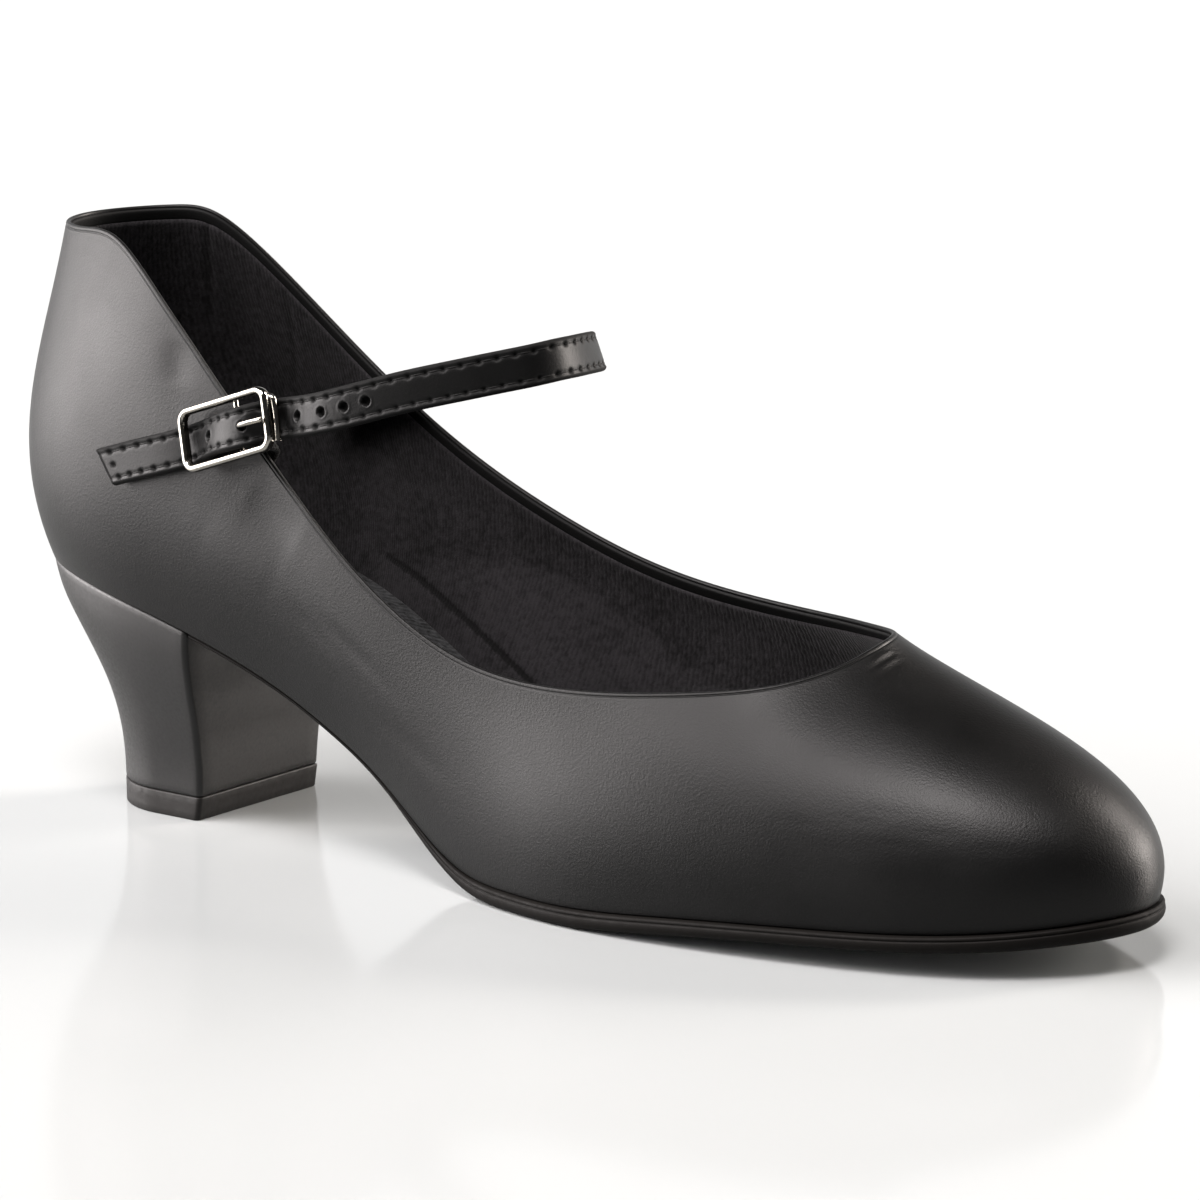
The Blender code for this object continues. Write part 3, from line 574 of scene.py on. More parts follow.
def cloth_finish(name, colour, pitch, slant=0.0, sheen=0.05, ribs=0.3):
    """Brushed lining: faint ribs that follow the surface, clumped fuzz; "tint" gives tone and painted
    highlight.
    """
    m = finish(name, colour, 0.92, specular=0.12, sheen=sheen)
    uv = node(m, "ShaderNodeUVMap", {"uv_map": "surface"}).outputs[0]
    turned = node(m, "ShaderNodeMapping", None, Vector=uv, Rotation=(0.0, 0.0, slant),
                  Scale=(1.0, 1.0, 1.0)).outputs[0]
    wave = node(m, "ShaderNodeTexWave", {"bands_direction": "X"}, Vector=turned,
                Scale=1.0 / (pitch * 2 * math.pi) * 2.0, Distortion=4.0, Detail=3.0,
                Detail_Scale=2.5).outputs["Fac"]
    where = coordinates(m)
    fuzz = node(m, "ShaderNodeTexNoise", None, Vector=where, Scale=3200.0, Detail=4.0).outputs["Fac"]
    clumps = node(m, "ShaderNodeTexNoise", None, Vector=where, Scale=850.0, Detail=4.0,
                  Roughness=0.65).outputs["Fac"]
    patches = node(m, "ShaderNodeTexNoise", None, Vector=where, Scale=90.0, Detail=4.0).outputs["Fac"]
    painted_light_and_tone = node(m, "ShaderNodeAttribute", {"attribute_name": "tint"}).outputs["Fac"]
    # The "tint" attribute adds tone and painted highlight: the paler line at the lining's top edge and the
    # ridge beside each seam.
    share = sums(m, ramp(m, patches, 0.35, 0.65, 0.0, 0.3), scaled(m, wave, ribs),
                 ramp(m, clumps, 0.35, 0.68, -0.2, 0.6), painted_light_and_tone)
    tint = two_tones(m, share, tuple(0.2 * c for c in colour), tuple(2.8 * c for c in colour))
    height = sums(m, scaled(m, wave, 2.0 * ribs), scaled(m, clumps, 1.2), fuzz)
    link_to_shader(m, tint, None, height, 0.55, 0.0002)
    return m


def metal_finish(name, colour):
    """Polished nickel with faint tumbling marks."""
    m = finish(name, colour, 0.12, metallic=1.0)
    where = coordinates(m)
    marks = node(m, "ShaderNodeTexNoise", None, Vector=where, Scale=900.0, Detail=3.0).outputs["Fac"]
    link_to_shader(m, None, ramp(m, marks, 0.3, 0.7, 0.08, 0.18), marks, 0.08, 0.0001)
    return m


def moulded_finish(name, colour, roughness, scale=700.0, strength=0.2, specular=0.2):
    """Rubber or resin: fine even tooth and slightly uneven gloss."""
    m = finish(name, colour, roughness, specular=specular)
    where = coordinates(m)
    tooth = node(m, "ShaderNodeTexNoise", None, Vector=where, Scale=scale, Detail=5.0).outputs["Fac"]
    broad = node(m, "ShaderNodeTexNoise", None, Vector=where, Scale=70.0, Detail=3.0).outputs["Fac"]
    tint = two_tones(m, broad, tuple(0.7 * c for c in colour), tuple(1.35 * c for c in colour))
    link_to_shader(m, tint, ramp(m, tooth, 0.3, 0.7, roughness - 0.06, roughness + 0.08), tooth, strength, 0.0001)
    return m


# Pieces

def round_the_last(count):
    """Fractions round the last, closer over the toe: t - 0.4 sin(2 pi t) / 2 pi."""
    t = np.arange(count) / count
    return t - 0.4 * np.sin(2 * math.pi * t) / (2 * math.pi)


def rows_below_top(u, near_top, count):
    """v at given distances below the topline, then evenly on to the foot, top first."""
    fine = np.linspace(0, 1, 401)
    s = upper_surface(u, fine)
    run = np.concatenate([np.zeros((len(u), 1)),
                          np.cumsum(np.linalg.norm(np.diff(s, axis=1), axis=2), 1)], 1)
    down = run[:, -1:] - run
    near = np.asarray(near_top, float)
    part = np.linspace(0, 1, count + 1)[1:]
    want = np.concatenate([np.broadcast_to(near, (len(u), len(near))),
                           near[-1] + (down[:, :1] - near[-1]) * part], 1)
    return np.stack([np.interp(w, d[::-1], fine[::-1]) for w, d in zip(want, down)])


def creased(points, normals, table):
    """Points pushed in along their normals by depth * exp(-(distance / width)^2).

    The distance to the crease's line is taken along the surface, and fades out where
    the line lies more than a few millimetres over or under it.
    """
    move = np.zeros(points.shape[:-1])
    for row in table:
        a, b, width, depth = row[:3], row[3:6], row[6], row[7]
        along = b - a
        t = np.clip(((points - a) @ along) / (along @ along), 0, 1)
        off = points - a - t[..., None] * along
        over = np.sum(off * normals, -1)
        near = np.linalg.norm(off - over[..., None] * normals, axis=-1)
        ends = np.sin(math.pi * np.clip(t, 0.03, 0.97)) ** 0.5
        move += depth * ends * np.exp(-(near / width) ** 2) * np.exp(-(over / 4.0) ** 4)
    return points - move[..., None] * normals


def make_upper_leather(leather, thick):
    """Outer leather: the ribbed last surface, rolled over at the topline and back inside."""
    u = round_the_last(640)
    near = (0.0, 0.14, 0.26, 0.36, 0.45, 0.54, 0.66, 0.82, 1.05, 1.35, 1.7, 2.1, 2.5, 2.9, 3.3, 3.7,
            4.2, 4.8, 5.5)
    v = rows_below_top(u, near, 84)
    outer, normals = outer_face(u, v)
    groove = np.zeros(v.shape[1])
    groove[:len(near)] = 0.14 * np.exp(-((np.array(near) - 0.45) / 0.13) ** 2)
    outer = outer - groove[None, :, None] * normals
    outer = creased(outer, normals, CREASES)
    rise = unit(outer[:, 0] - outer[:, 1])
    angle = np.linspace(0, math.pi, 9)[1:-1, None]
    middle = outer[:, :1] - thick / 2 * normals[:, :1]
    roll = middle + thick / 2 * (np.cos(angle) * normals[:, :1] + np.sin(angle) * rise[:, None])
    keep = np.r_[0, 8, 16:outer.shape[1]:16, outer.shape[1] - 1]
    inner = outer[:, keep] - thick * normals[:, keep]
    ring = np.concatenate([outer[:, ::-1], roll, inner], 1)
    return add_mesh("upper_leather", [(ring, True, True)], leather, ("upper",), 70)


def lining_marks(points, below_facing):
    """Dents and tone of the lining: seams, the sock's raised edge, a paler ribbed band.

    A seam is a Gaussian of the distance to its line; tone is below 0 darker, over 0 paler.
    The paler line at the lining's top edge and on the ridge beside each seam is painted highlight.
    """
    x, y, z = np.moveaxis(points, -1, 0)
    inner_side = smooth(2.0, 8.0, y)
    dent = np.zeros(x.shape)
    # Paler line along the lining's top edge, under the facing: painted highlight.
    tone = 0.55 * np.exp(-(below_facing / 0.55) ** 2)
    for x0, z0, x1, z1 in LINING_SEAMS:
        at = x0 + (z - z0) * (x1 - x0) / (z1 - z0)
        seam = np.exp(-((x - at) / 0.5) ** 2) * smooth(z1 - 3, z1 + 3, z) * inner_side
        ridge = np.exp(-((x - at - 1.1) / 0.6) ** 2) * smooth(z1 - 3, z1 + 3, z) * inner_side
        dent += 0.22 * seam - 0.12 * ridge
        # Paler on the raised ridge beside the seam: painted highlight; the seam line itself is darker.
        tone += 0.35 * ridge - 0.5 * seam
    start, end, high = SOCK_EDGE
    over = z - seat_line(x) - high
    reach = smooth(start, start + 6, x) * (1 - smooth(end - 4, end + 6, x)) * inner_side
    dent += (0.35 * np.exp(-(over / 0.5) ** 2) - 0.45 * smooth(0.6, -0.6, over)) * reach
    tone -= 1.2 * np.exp(-(over / 0.5) ** 2) * reach
    limit = np.interp(x, RIBBED_BAND[:, 0], RIBBED_BAND[:, 1])
    band = smooth(limit + 1.5, limit - 1.5, z) * smooth(-0.5, 0.5, over) * inner_side
    tone += 0.3 * reach * smooth(-0.3, -0.9, over)
    tone += 0.36 * band * smooth(62, 80, x) * (1 - smooth(128, 150, x))
    return dent, tone


def make_lining(leather, cloth, thick, facing):
    """Facing strip under the topline and the lining below it, on the wall's inner side."""
    u = round_the_last(540)
    v = rows_below_top(u, facing * np.array([0.0, 0.06, 0.15, 0.3, 0.5, 0.72, 0.9, 1.0]), 104)
    outer, normals = outer_face(u, v)
    top = 8
    depth = np.array([1.05, 1.35, 1.45, 1.48, 1.5, 1.5, 1.5, 1.42])
    face = outer[:, :top] - depth[:, None] * normals[:, :top]
    back = outer[:, :top] - (thick + 0.03) * normals[:, :top]
    strip = np.concatenate([face, back[:, ::-1]], 1)
    run = run_along(outer[:, 20])
    uv = np.zeros(outer.shape[:2] + (2,))
    uv[..., 0] = run[:, None] * MM
    uv[..., 1] = outer[..., 2] * MM
    add_mesh("topline_facing", [(strip, True, True)], leather, ("upper",))
    low = outer[:, top - 2:]
    deep = np.full(low.shape[1], WALL)
    deep[0] = WALL - 0.35
    deep[1] = WALL - 0.06
    inner = low - deep[:, None] * normals[:, top - 2:]
    below = np.linalg.norm(inner - inner[:, 1:2], axis=2)
    dent, tone = lining_marks(inner, below)
    inner = inner + dent[..., None] * normals[:, top - 2:]
    far = low - 1.2 * normals[:, top - 2:]
    shell = np.concatenate([inner, far[:, ::-6], far[:, :1]], 1)
    uv = np.concatenate([uv[:, top - 2:], uv[:, top - 2:][:, ::-6], uv[:, top - 2:top - 1]], 1)
    tint = np.zeros(shell.shape[:2])
    # The lining's tone, with its painted highlight at the top edge and beside the seams, goes to the
    # "tint" attribute.
    tint[:, :inner.shape[1]] = tone
    return add_mesh("lining", [(shell, True, True, False, uv, tint)], cloth, ("upper",))


def make_insole(cloth):
    """Sock: ruled across between the two sides of the inner wall, its edge rounded down."""
    low = outline(WALL + 0.5)
    high = outline(0.7, lift=INSOLE_THICKNESS)
    f = (1 - np.cos(math.pi * np.linspace(0, 1, 200))) / 2
    across = (1 - np.cos(math.pi * np.linspace(0, 1, 41))) / 2
    parts = []
    for line, rise, order in ((low, 0.0, across), (high, INSOLE_THICKNESS, across[::-1])):
        start = line[:, 0].min() + 0.25
        end = line[:, 0].max() - 0.25
        x = start + (end - start) * f
        a = side_at(line, x, True)[:, None]
        b = side_at(line, x, False)[:, None]
        y = a + (b - a) * order
        edge = np.minimum(order, 1 - order)[None] * (b - a)
        drop = 0.7 * (1 - smooth(0.0, 1.2, edge)) if rise else 0.0 * edge
        z = (seat_line(x) + rise)[:, None] - drop
        parts.append(np.stack([np.broadcast_to(x[:, None], y.shape), y, z], 2))
    ring = np.concatenate(parts, 1)
    uv = ring[..., :2] * MM
    return add_mesh("sock", [(ring, False, True, "paired", uv)], cloth, ("insole",))


def make_outsole(resin):
    """Sole: SOLE_EDGE carried round the foot outline, thin under the shank.

    The outline is worked out at even steps of inset and blended between them.
    """
    f = np.sin(math.pi / 2 * np.linspace(0, 1, 170))
    start = HEEL_BREAST + GAP
    x0 = start + (240.0 - start) * f
    thick, welt = spline(OUTSOLE[:, 0], OUTSOLE[:, 1:], x0).T
    step = 0.3
    insets = np.arange(-2.4, 1.9, step)
    sides = []
    for inset in insets:
        line = outline(-inset, count=2400)
        x = start + (line[:, 0].max() - 0.004 - start) * f
        sides.append(np.stack([x, side_at(line, x, True), side_at(line, x, False)], 1))
    sides = np.stack(sides)
    column = np.arange(len(f))
    left, right = [], []
    for part, out in SOLE_EDGE:
        k = (welt + out - insets[0]) / step
        low = k.astype(int)
        share = (k - low)[:, None]
        x, y_out, y_in = ((1 - share) * sides[low, column] + share * sides[low + 1, column]).T
        top = seat_line(x) - GAP
        bottom = np.maximum(top - thick, 0.0)
        bottom[(x >= TREAD_FLAT[0]) & (x <= TREAD_FLAT[1])] = 0.0
        z = bottom + (top - bottom) * part
        left.append(np.stack([x, y_out, z], 1))
        right.append(np.stack([x, y_in, z], 1))
    ring = np.stack(left + right[::-1], 1)
    return add_mesh("sole", [(ring, False, True, "paired")], resin, ("outsole",), 40)


def plan_half(f, depth, half):
    """Half width of the D-shaped plan: half * sqrt(1 - (1 - g)^2), g = f / turn up to 1."""
    turn = np.minimum(half / depth, 1.0)
    g = np.clip(f / turn, 0, 1)
    return half * np.sqrt(1 - (1 - g) ** 2)


def eased_plan(back, front, ys, yi, f, corner):
    """Plan rings: two sides at back + (front - corner - back) f, round corners, flat breast."""
    side = back + (front - corner - back) * f
    turn = np.radians(np.linspace(0, 90, 7))[1:]
    ahead = front - corner + corner * np.sin(turn)
    inward = corner - corner * np.cos(turn)
    outer = ys[:, :1] + inward
    inner = yi[:, :1] - inward
    across = np.linspace(0, 1, 12)[1:-1]
    flat = inner[:, -1:] + (outer[:, -1:] - inner[:, -1:]) * across
    x = np.concatenate([side, side[:, -2::-1], ahead, front + 0 * flat, ahead[:, ::-1]], 1)
    y = np.concatenate([ys, yi[:, -2::-1], inner, flat, outer[:, ::-1]], 1)
    return x, y


def drawn_in(x, y, share):
    """Rings drawn towards their own middles by a share of their size."""
    middle_x = x.mean(1, keepdims=True)
    middle_y = y.mean(1, keepdims=True)
    return x - (x - middle_x) * share, y - (y - middle_y) * share


def make_heel(block):
    """Heel block: rings from the D of the top lift to the seat's outline, after HEEL."""
    corner = HEEL_CORNER
    line = outline(0.15)
    f = (1 - np.cos(math.pi / 2 * np.linspace(0, 1, 44)))[::-1]
    lowest = line[:, 0].min() + 0.2
    x = lowest + (HEEL_BREAST - corner - lowest) * f
    seat_outer = -side_at(line, x, True)
    seat_inner = side_at(line, x, False)
    t = np.concatenate([[0, 0.006, 0.014], np.linspace(0.04, 0.96, 42), [0.986, 0.994, 1.0]])
    back, front, outer, inner, shape = spline(HEEL[:, 0], HEEL[:, 1:], t).T[:, :, None]
    ys = -(plan_half(f, front - back, outer) * (1 - shape)
           + seat_outer / seat_outer[0] * outer * shape)
    yi = (plan_half(f, front - back, inner) * (1 - shape)
          + seat_inner / seat_inner[0] * inner * shape)
    x, y = eased_plan(back, front, ys, yi, f, corner)
    foot = TOP_LIFT_THICKNESS + 0.12
    z = foot + (seat_line(x) - GAP - foot) * t[:, None]
    share = np.interp(t, (0, 0.006, 0.014, 0.986, 0.994, 1.0), (0.018, 0.005, 0, 0, 0.004, 0.014))
    x, y = drawn_in(x, y, share[:, None])
    return add_mesh("heel_block", [(np.stack([x, y, z], 2), False, True, True)], block,
                    ("heel",), 60)


def make_top_lift(rubber):
    """Wearing layer: the D plan of the heel's foot, its lower edge worn a little."""
    f = (1 - np.cos(math.pi / 2 * np.linspace(0, 1, 44)))[::-1]
    z = np.array([0.0, 0.1, 0.3, 1.5, 3.0, 4.2, 4.4, TOP_LIFT_THICKNESS])[:, None]
    share = np.array([0.016, 0.005, 0.0, 0.0, 0.0, 0.0, 0.004, 0.016])[:, None]
    back = np.full((len(z), 1), LIFT_BACK)
    front = LIFT_FRONT + 0.8 * z / TOP_LIFT_THICKNESS
    ys = plan_half(f, front - back, LIFT_HALF_WIDTH)
    x, y = eased_plan(back, front, -ys, ys * 0.97, f, 1.0)
    x, y = drawn_in(x, y, share)
    ring = np.stack([x, y, np.broadcast_to(z, x.shape)], 2)
    return add_mesh("lift", [(ring, False, True, True)], rubber, ("top_lift",), 60)


def strap_frames(s):
    """Places and directions (ahead, up the width, outward) at lengths s along the strap."""
    chord = run_along(STRAP[:, :3])
    fine = np.linspace(0, chord[-1], 1200)
    path = spline(chord, STRAP[:, :3], fine)
    arc = run_along(path)
    at = np.interp(s, arc, fine)
    place = spline(chord, STRAP[:, :3], at)
    ahead = unit(spline(chord, STRAP[:, :3], at + 0.05) - spline(chord, STRAP[:, :3], at - 0.05))
    lean = np.radians(np.interp(at, chord, STRAP[:, 3]))[:, None]
    up = unit(np.array([0.0, 0.0, 1.0]) - ahead[:, 2:3] * ahead)
    out = np.cross(ahead, up)
    return place, ahead, np.cos(lean) * up - np.sin(lean) * out, np.sin(lean) * up + np.cos(lean) * out


def strap_length():
    """Length of the strap's middle line."""
    path = spline(np.arange(len(STRAP)), STRAP[:, :3], np.linspace(0, len(STRAP) - 1, 2000))
    return np.linalg.norm(np.diff(path, axis=0), axis=1).sum()


def stitch_places(pitch, inset):
    """Pinholes in sewing order, along and across: one edge, the slanting end, the other edge."""
    count = int((strap_length() - 6) / pitch)
    along = FIRST_STITCH + pitch * np.arange(count)
    edge = np.stack([along, np.full(count, STRAP_WIDTH / 2 - inset)], 1)
    return np.vstack([edge[::-1], [[FIRST_STITCH - 0.2, 0.0]], edge * (1, -1)])


def make_strap(leather, thread, pitch, inset, hole_radius):
    """Strap: a soft-edged band along STRAP, with pinholes and punched holes dented in; painted shade in
    the holes, dye and painted shade at the edges.
    """
    length = strap_length()
    s = np.linspace(0, length, 1240)
    half = STRAP_WIDTH / 2
    thick = STRAP_THICKNESS / 2
    soft = STRAP_SOFT_EDGE
    across = np.linspace(-half + soft, half - soft, 31)
    turn = np.radians(np.linspace(90, -90, 9))[1:-1]
    edge = half - soft + soft * np.cos(turn)
    rise = thick * np.sin(turn)
    back = np.linspace(half - soft, -half + soft, 7)
    w = np.concatenate([across, edge, back, -edge[::-1]])
    h = np.concatenate([np.full(31, thick), rise, np.full(7, -thick), rise[::-1]])
    place, ahead, wide, out = strap_frames(s)
    shown = np.broadcast_to(w[:31], (len(s), 31))
    along = np.broadcast_to(s[:, None], (len(s), 31))
    fade = np.clip(1 - s / STRAP_SKEW_REACH, 0, 1)[:, None]
    dent = np.zeros((len(s), 31))
    tint = np.zeros((len(s), len(w)))
    near_edge = half - np.abs(shown)
    # Darker along the face's edges, on the rounded sides and at the cut end: edge dye and painted shade
    # for the strap's dark outline.
    tint[:, :31] += 0.75 * (1 - smooth(0.5, 0.85, near_edge))
    tint[:, 31:38] = tint[:, -7:] = 0.85
    tint[s < 0.5] = 0.9
    dent -= 0.06 * np.exp(-((near_edge - 0.5) / 0.45) ** 2)
    dent += 0.10 * np.exp(-((near_edge - inset) / 0.34) ** 2)
    pinholes = stitch_places(pitch, inset)
    # Each pinhole is dented in and painted darker: painted shade in the hole.
    for at, side in pinholes:
        few = slice(*np.searchsorted(s, (at - 2.0, at + 2.0)))
        far = np.hypot((along[few] - at) / 1.25, shown[few] - side)
        dent[few] += 0.42 * np.exp(-(far / 0.4) ** 2)
        tint[few, :31] += 1.5 * np.exp(-(far / 0.5) ** 2)
    # Each punched hole is dented in and painted near black inside: painted shade.
    for centre in STRAP_HOLES:
        far = np.hypot(along - centre, shown)
        deep = 1 - smooth(hole_radius - 0.12, hole_radius + 0.12, far)
        dent += 0.95 * deep - 0.06 * np.exp(-((far - hole_radius - 0.35) / 0.25) ** 2)
        tint[:, :31] += deep
    hh = np.broadcast_to(h, (len(s), len(w))).copy()
    hh[:, :31] -= dent
    shift = -STRAP_END_SKEW * w[None] * fade
    grid = (place[:, None] + w[None, :, None] * wide[:, None] + hh[..., None] * out[:, None]
            + shift[..., None] * ahead[:, None])
    uv = np.stack([np.broadcast_to(s[:, None], hh.shape), np.broadcast_to(w, hh.shape)], 2) * MM
    strap = add_mesh("strap_band", [(grid, False, True, True, uv, np.clip(tint, 0, 1))], leather,
                     ("strap",))
    threads(place, ahead, wide, out, s, pinholes, thread)
    return strap


def threads(place, ahead, wide, out, s, pinholes, thread):
    """Stitches: bowed tubes from pinhole to pinhole, their ends dipping into the leather."""
    t = np.linspace(0, 1, 7)
    ring = np.radians(np.arange(6) * 60.0)
    radius = 0.15
    skins = []
    for start, end in zip(pinholes[:-1], pinholes[1:]):
        at, side = (start + (end - start) * (0.08 + 0.84 * t)[:, None]).T
        p, a, w, o = (np.stack([np.interp(at, s, v[:, c]) for c in range(3)], 1)
                      for v in (place, ahead, wide, out))
        slide = -STRAP_END_SKEW * side * np.clip(1 - at / STRAP_SKEW_REACH, 0, 1)
        high = STRAP_THICKNESS / 2 - 0.46 + 0.36 * np.sin(math.pi * t) ** 0.6
        line = p + side[:, None] * w + high[:, None] * o + slide[:, None] * a
        run = unit(end - start)
        beside = run[0] * w - run[1] * a
        grid = (line[:, None] + radius * np.cos(ring)[None, :, None] * beside[:, None]
                + 0.8 * radius * np.sin(ring)[None, :, None] * o[:, None])
        skins.append((grid, False, True, True))
    return add_mesh("strap_stitches", skins, thread)


def make_buckle_tab(elastic):
    """Elastic tab: a flat ribbed band along ANCHOR, into the quarter and round the bar."""
    chord = run_along(ANCHOR[:, :3])
    at = np.linspace(0, chord[-1], 70)
    both = spline(chord, ANCHOR, at)
    ahead = unit(np.gradient(both[:, :3], axis=0))
    wide = unit(both[:, 3:] - np.sum(both[:, 3:] * ahead, 1)[:, None] * ahead)
    out = np.cross(ahead, wide)
    face = np.linspace(-1, 1, 33)
    half = ANCHOR_WIDTH / 2 - 0.2
    rib = 0.06 * np.cos(face * 10 * math.pi)
    w = np.concatenate([face * half, [half + 0.18], face[::-1] * half, [-half - 0.18]])
    h = np.concatenate([0.43 + rib, [0.0], -0.43 - rib, [0.0]])
    grid = (both[:, None, :3] + w[None, :, None] * wide[:, None] + h[None, :, None] * out[:, None])
    uv = np.stack([np.broadcast_to(at[:, None], grid.shape[:2]), np.broadcast_to(w, grid.shape[:2])], 2)
    return add_mesh("buckle_tab", [(grid, False, True, True, uv * MM)], elastic,
                    ("buckle_anchor",))


def tube(path, radius, ring=16, squash=1.0, flat=None):
    """A round skin along a path, its section turned with the path's own direction."""
    ahead = unit(np.gradient(path, axis=0))
    guide = np.array([0.0, 1.0, 0.2]) if flat is None else flat
    side = unit(np.cross(ahead, guide))
    lift = np.cross(side, ahead)
    turn = np.arange(ring) * 2 * math.pi / ring
    radius = np.broadcast_to(radius, (len(path),))[:, None, None]
    return (path[:, None] + radius * (np.cos(turn)[None, :, None] * side[:, None]
                                      + squash * np.sin(turn)[None, :, None] * lift[:, None]))


def make_buckle(metal):
    """Frame: a rounded oblong path with a superellipse section, and the middle bar."""
    a, w, n = buckle_axes()
    half_l = FRAME_LENGTH / 2 - RAIL_WIDTH / 2
    half_h = FRAME_HEIGHT / 2 - RAIL_WIDTH / 2
    r = FRAME_CORNER - RAIL_WIDTH / 2
    deg = np.concatenate([np.linspace(k, k + 90, 15) for k in (0, 90, 180, 270)])
    cx = np.repeat([1, -1, -1, 1], 15)
    cy = np.repeat([1, 1, -1, -1], 15)
    rad = np.radians(deg)
    x = cx * (half_l - r) + r * np.cos(rad)
    y = cy * (half_h - r) + r * np.sin(rad)
    side = np.cos(rad)[:, None] * a + np.sin(rad)[:, None] * w
    turn = np.radians(np.arange(24) * 15.0)
    p = RAIL_WIDTH / 2 * np.sign(np.cos(turn)) * np.abs(np.cos(turn)) ** 0.8
    q = RAIL_DEPTH / 2 * np.sign(np.sin(turn)) * np.abs(np.sin(turn)) ** 0.8
    ring = (buckle_point(x, y, 0.0)[:, None] + p[None, :, None] * side[:, None]
            + q[None, :, None] * n)
    reach = np.linspace(-half_h - 0.2, half_h + 0.2, 12)
    bar = tube(buckle_point(BAR_ALONG, reach, BAR_OUT), BAR_RADIUS, 16, flat=n)
    return add_mesh("buckle", [(ring, True, True), (bar, False, True, True)], metal,
                    ("buckle_frame",), 50)


def make_end_bar(metal):
    """Second bar close behind the end rail: rounded top, its foot curled in two."""
    t = np.linspace(0, 1, 40)
    across = 4.2 - 8.6 * t
    along = 11.35 + 0.25 * np.sin(math.pi * t) - 0.9 * smooth(0.0, 1.0, 1 - t / 0.14)
    out = -0.95 + 0.25 * smooth(0.0, 1.0, 1 - t / 0.14)
    radius = 0.62 * np.sqrt(np.clip(1 - (1 - np.clip(t / 0.06, 0, 1)) ** 2, 0.05, 1))
    skins = [(tube(buckle_point(along, across, out), radius, 16, flat=buckle_axes()[2]),
              False, True, True)]
    return add_mesh("buckle_end_bar", skins, metal, ("buckle_frame",), 50)


def make_prong(metal):
    """Prong: a round wire along PRONG, hooked on the bar, its tip rounded."""
    chord = run_along(PRONG)
    at = np.concatenate([np.linspace(0, chord[-1] - 0.5, 60),
                         chord[-1] - 0.5 * np.cos(np.linspace(0, 1, 7)[1:] * math.pi / 2)])
    line = spline(chord, PRONG, at)
    end = np.clip((chord[-1] - at) / 0.5, 0, 1)
    radius = PRONG_RADIUS * np.sqrt(np.clip(1 - (1 - end) ** 2, 0.02, 1))
    path = buckle_point(line[:, 0], PRONG_BELOW, line[:, 1])
    return add_mesh("prong", [(tube(path, radius, 16, flat=buckle_axes()[1]), False, True, True)],
                    metal, ("buckle_prong",), 50)


# Studio

CAMERA_AZIMUTH = 38.29
CAMERA_ELEVATION = 12.32
CAMERA_ROLL = -0.49
CAMERA_AWAY = 1010.0
CAMERA_AIM = (120.0, 0.0, 40.0)
CAMERA_SLIDE = (5.94, 8.27)
CAMERA_LENS = 170.3
SENSOR_WIDTH = 36.0


def set_camera():
    """Camera at the given azimuth and elevation from the aim, slid in its own plane."""
    a, e, r = (math.radians(d) for d in (CAMERA_AZIMUTH, CAMERA_ELEVATION, CAMERA_ROLL))
    back = np.array([math.sin(a) * math.cos(e), -math.cos(a) * math.cos(e), math.sin(e)])
    right = np.array([math.cos(a), math.sin(a), 0.0])
    up = np.cross(back, right)
    x = right * math.cos(r) + up * math.sin(r)
    y = -right * math.sin(r) + up * math.cos(r)
    place = np.array(CAMERA_AIM) + x * CAMERA_SLIDE[0] + y * CAMERA_SLIDE[1] + back * CAMERA_AWAY
    data = bpy.data.cameras.new("camera")
    data.lens = CAMERA_LENS
    data.sensor_width = SENSOR_WIDTH
    data.clip_start = 0.05
    data.clip_end = 60.0
    camera = bpy.data.objects.new("camera", data)
    bpy.context.scene.collection.objects.link(camera)
    turn = np.eye(4)
    turn[:3, 0], turn[:3, 1], turn[:3, 2] = x, y, back
    turn[:3, 3] = (place - SHIFT) * MM
    camera.matrix_world = Matrix(turn.tolist())
    bpy.context.scene.camera = camera


def set_light(name, azimuth, elevation, strength, angle, colour):
    """A broad soft lamp far away: azimuth from +X, elevation and width in degrees."""
    data = bpy.data.lights.new(name, "SUN")
    data.energy = strength
    data.angle = math.radians(angle)
    data.color = colour
    lamp = bpy.data.objects.new(name, data)
    lamp.rotation_euler = (0.0, math.radians(90 - elevation), math.radians(azimuth))
    bpy.context.scene.collection.objects.link(lamp)


WHITE_LAMP = (1.0, 0.95, 0.94)
WARM_LAMP = (1.0, 0.92, 0.86)
LAMPS = (
    # name, azimuth from the toe's direction, elevation, strength, width, colour
    ("behind_lamp", -172.0, 8.0, 1.5, 26.0, WHITE_LAMP),
    ("counter_lamp", -155.0, 10.0, 1.8, 30.0, WHITE_LAMP),
    ("heel_side_lamp", -152.0, 30.0, 4.6, 32.0, WHITE_LAMP),
    ("quarter_lamp", -136.0, 8.0, 4.0, 32.0, WHITE_LAMP),
    ("outer_side_lamp", -120.0, 44.0, 3.8, 36.0, WHITE_LAMP),
    ("top_lamp", -72.0, 68.0, 5.5, 22.0, WHITE_LAMP),
    ("toe_side_lamp", 56.0, 15.0, 5.6, 26.0, WARM_LAMP),
    ("toe_top_lamp", 67.0, 38.0, 2.1, 12.0, WARM_LAMP),
)


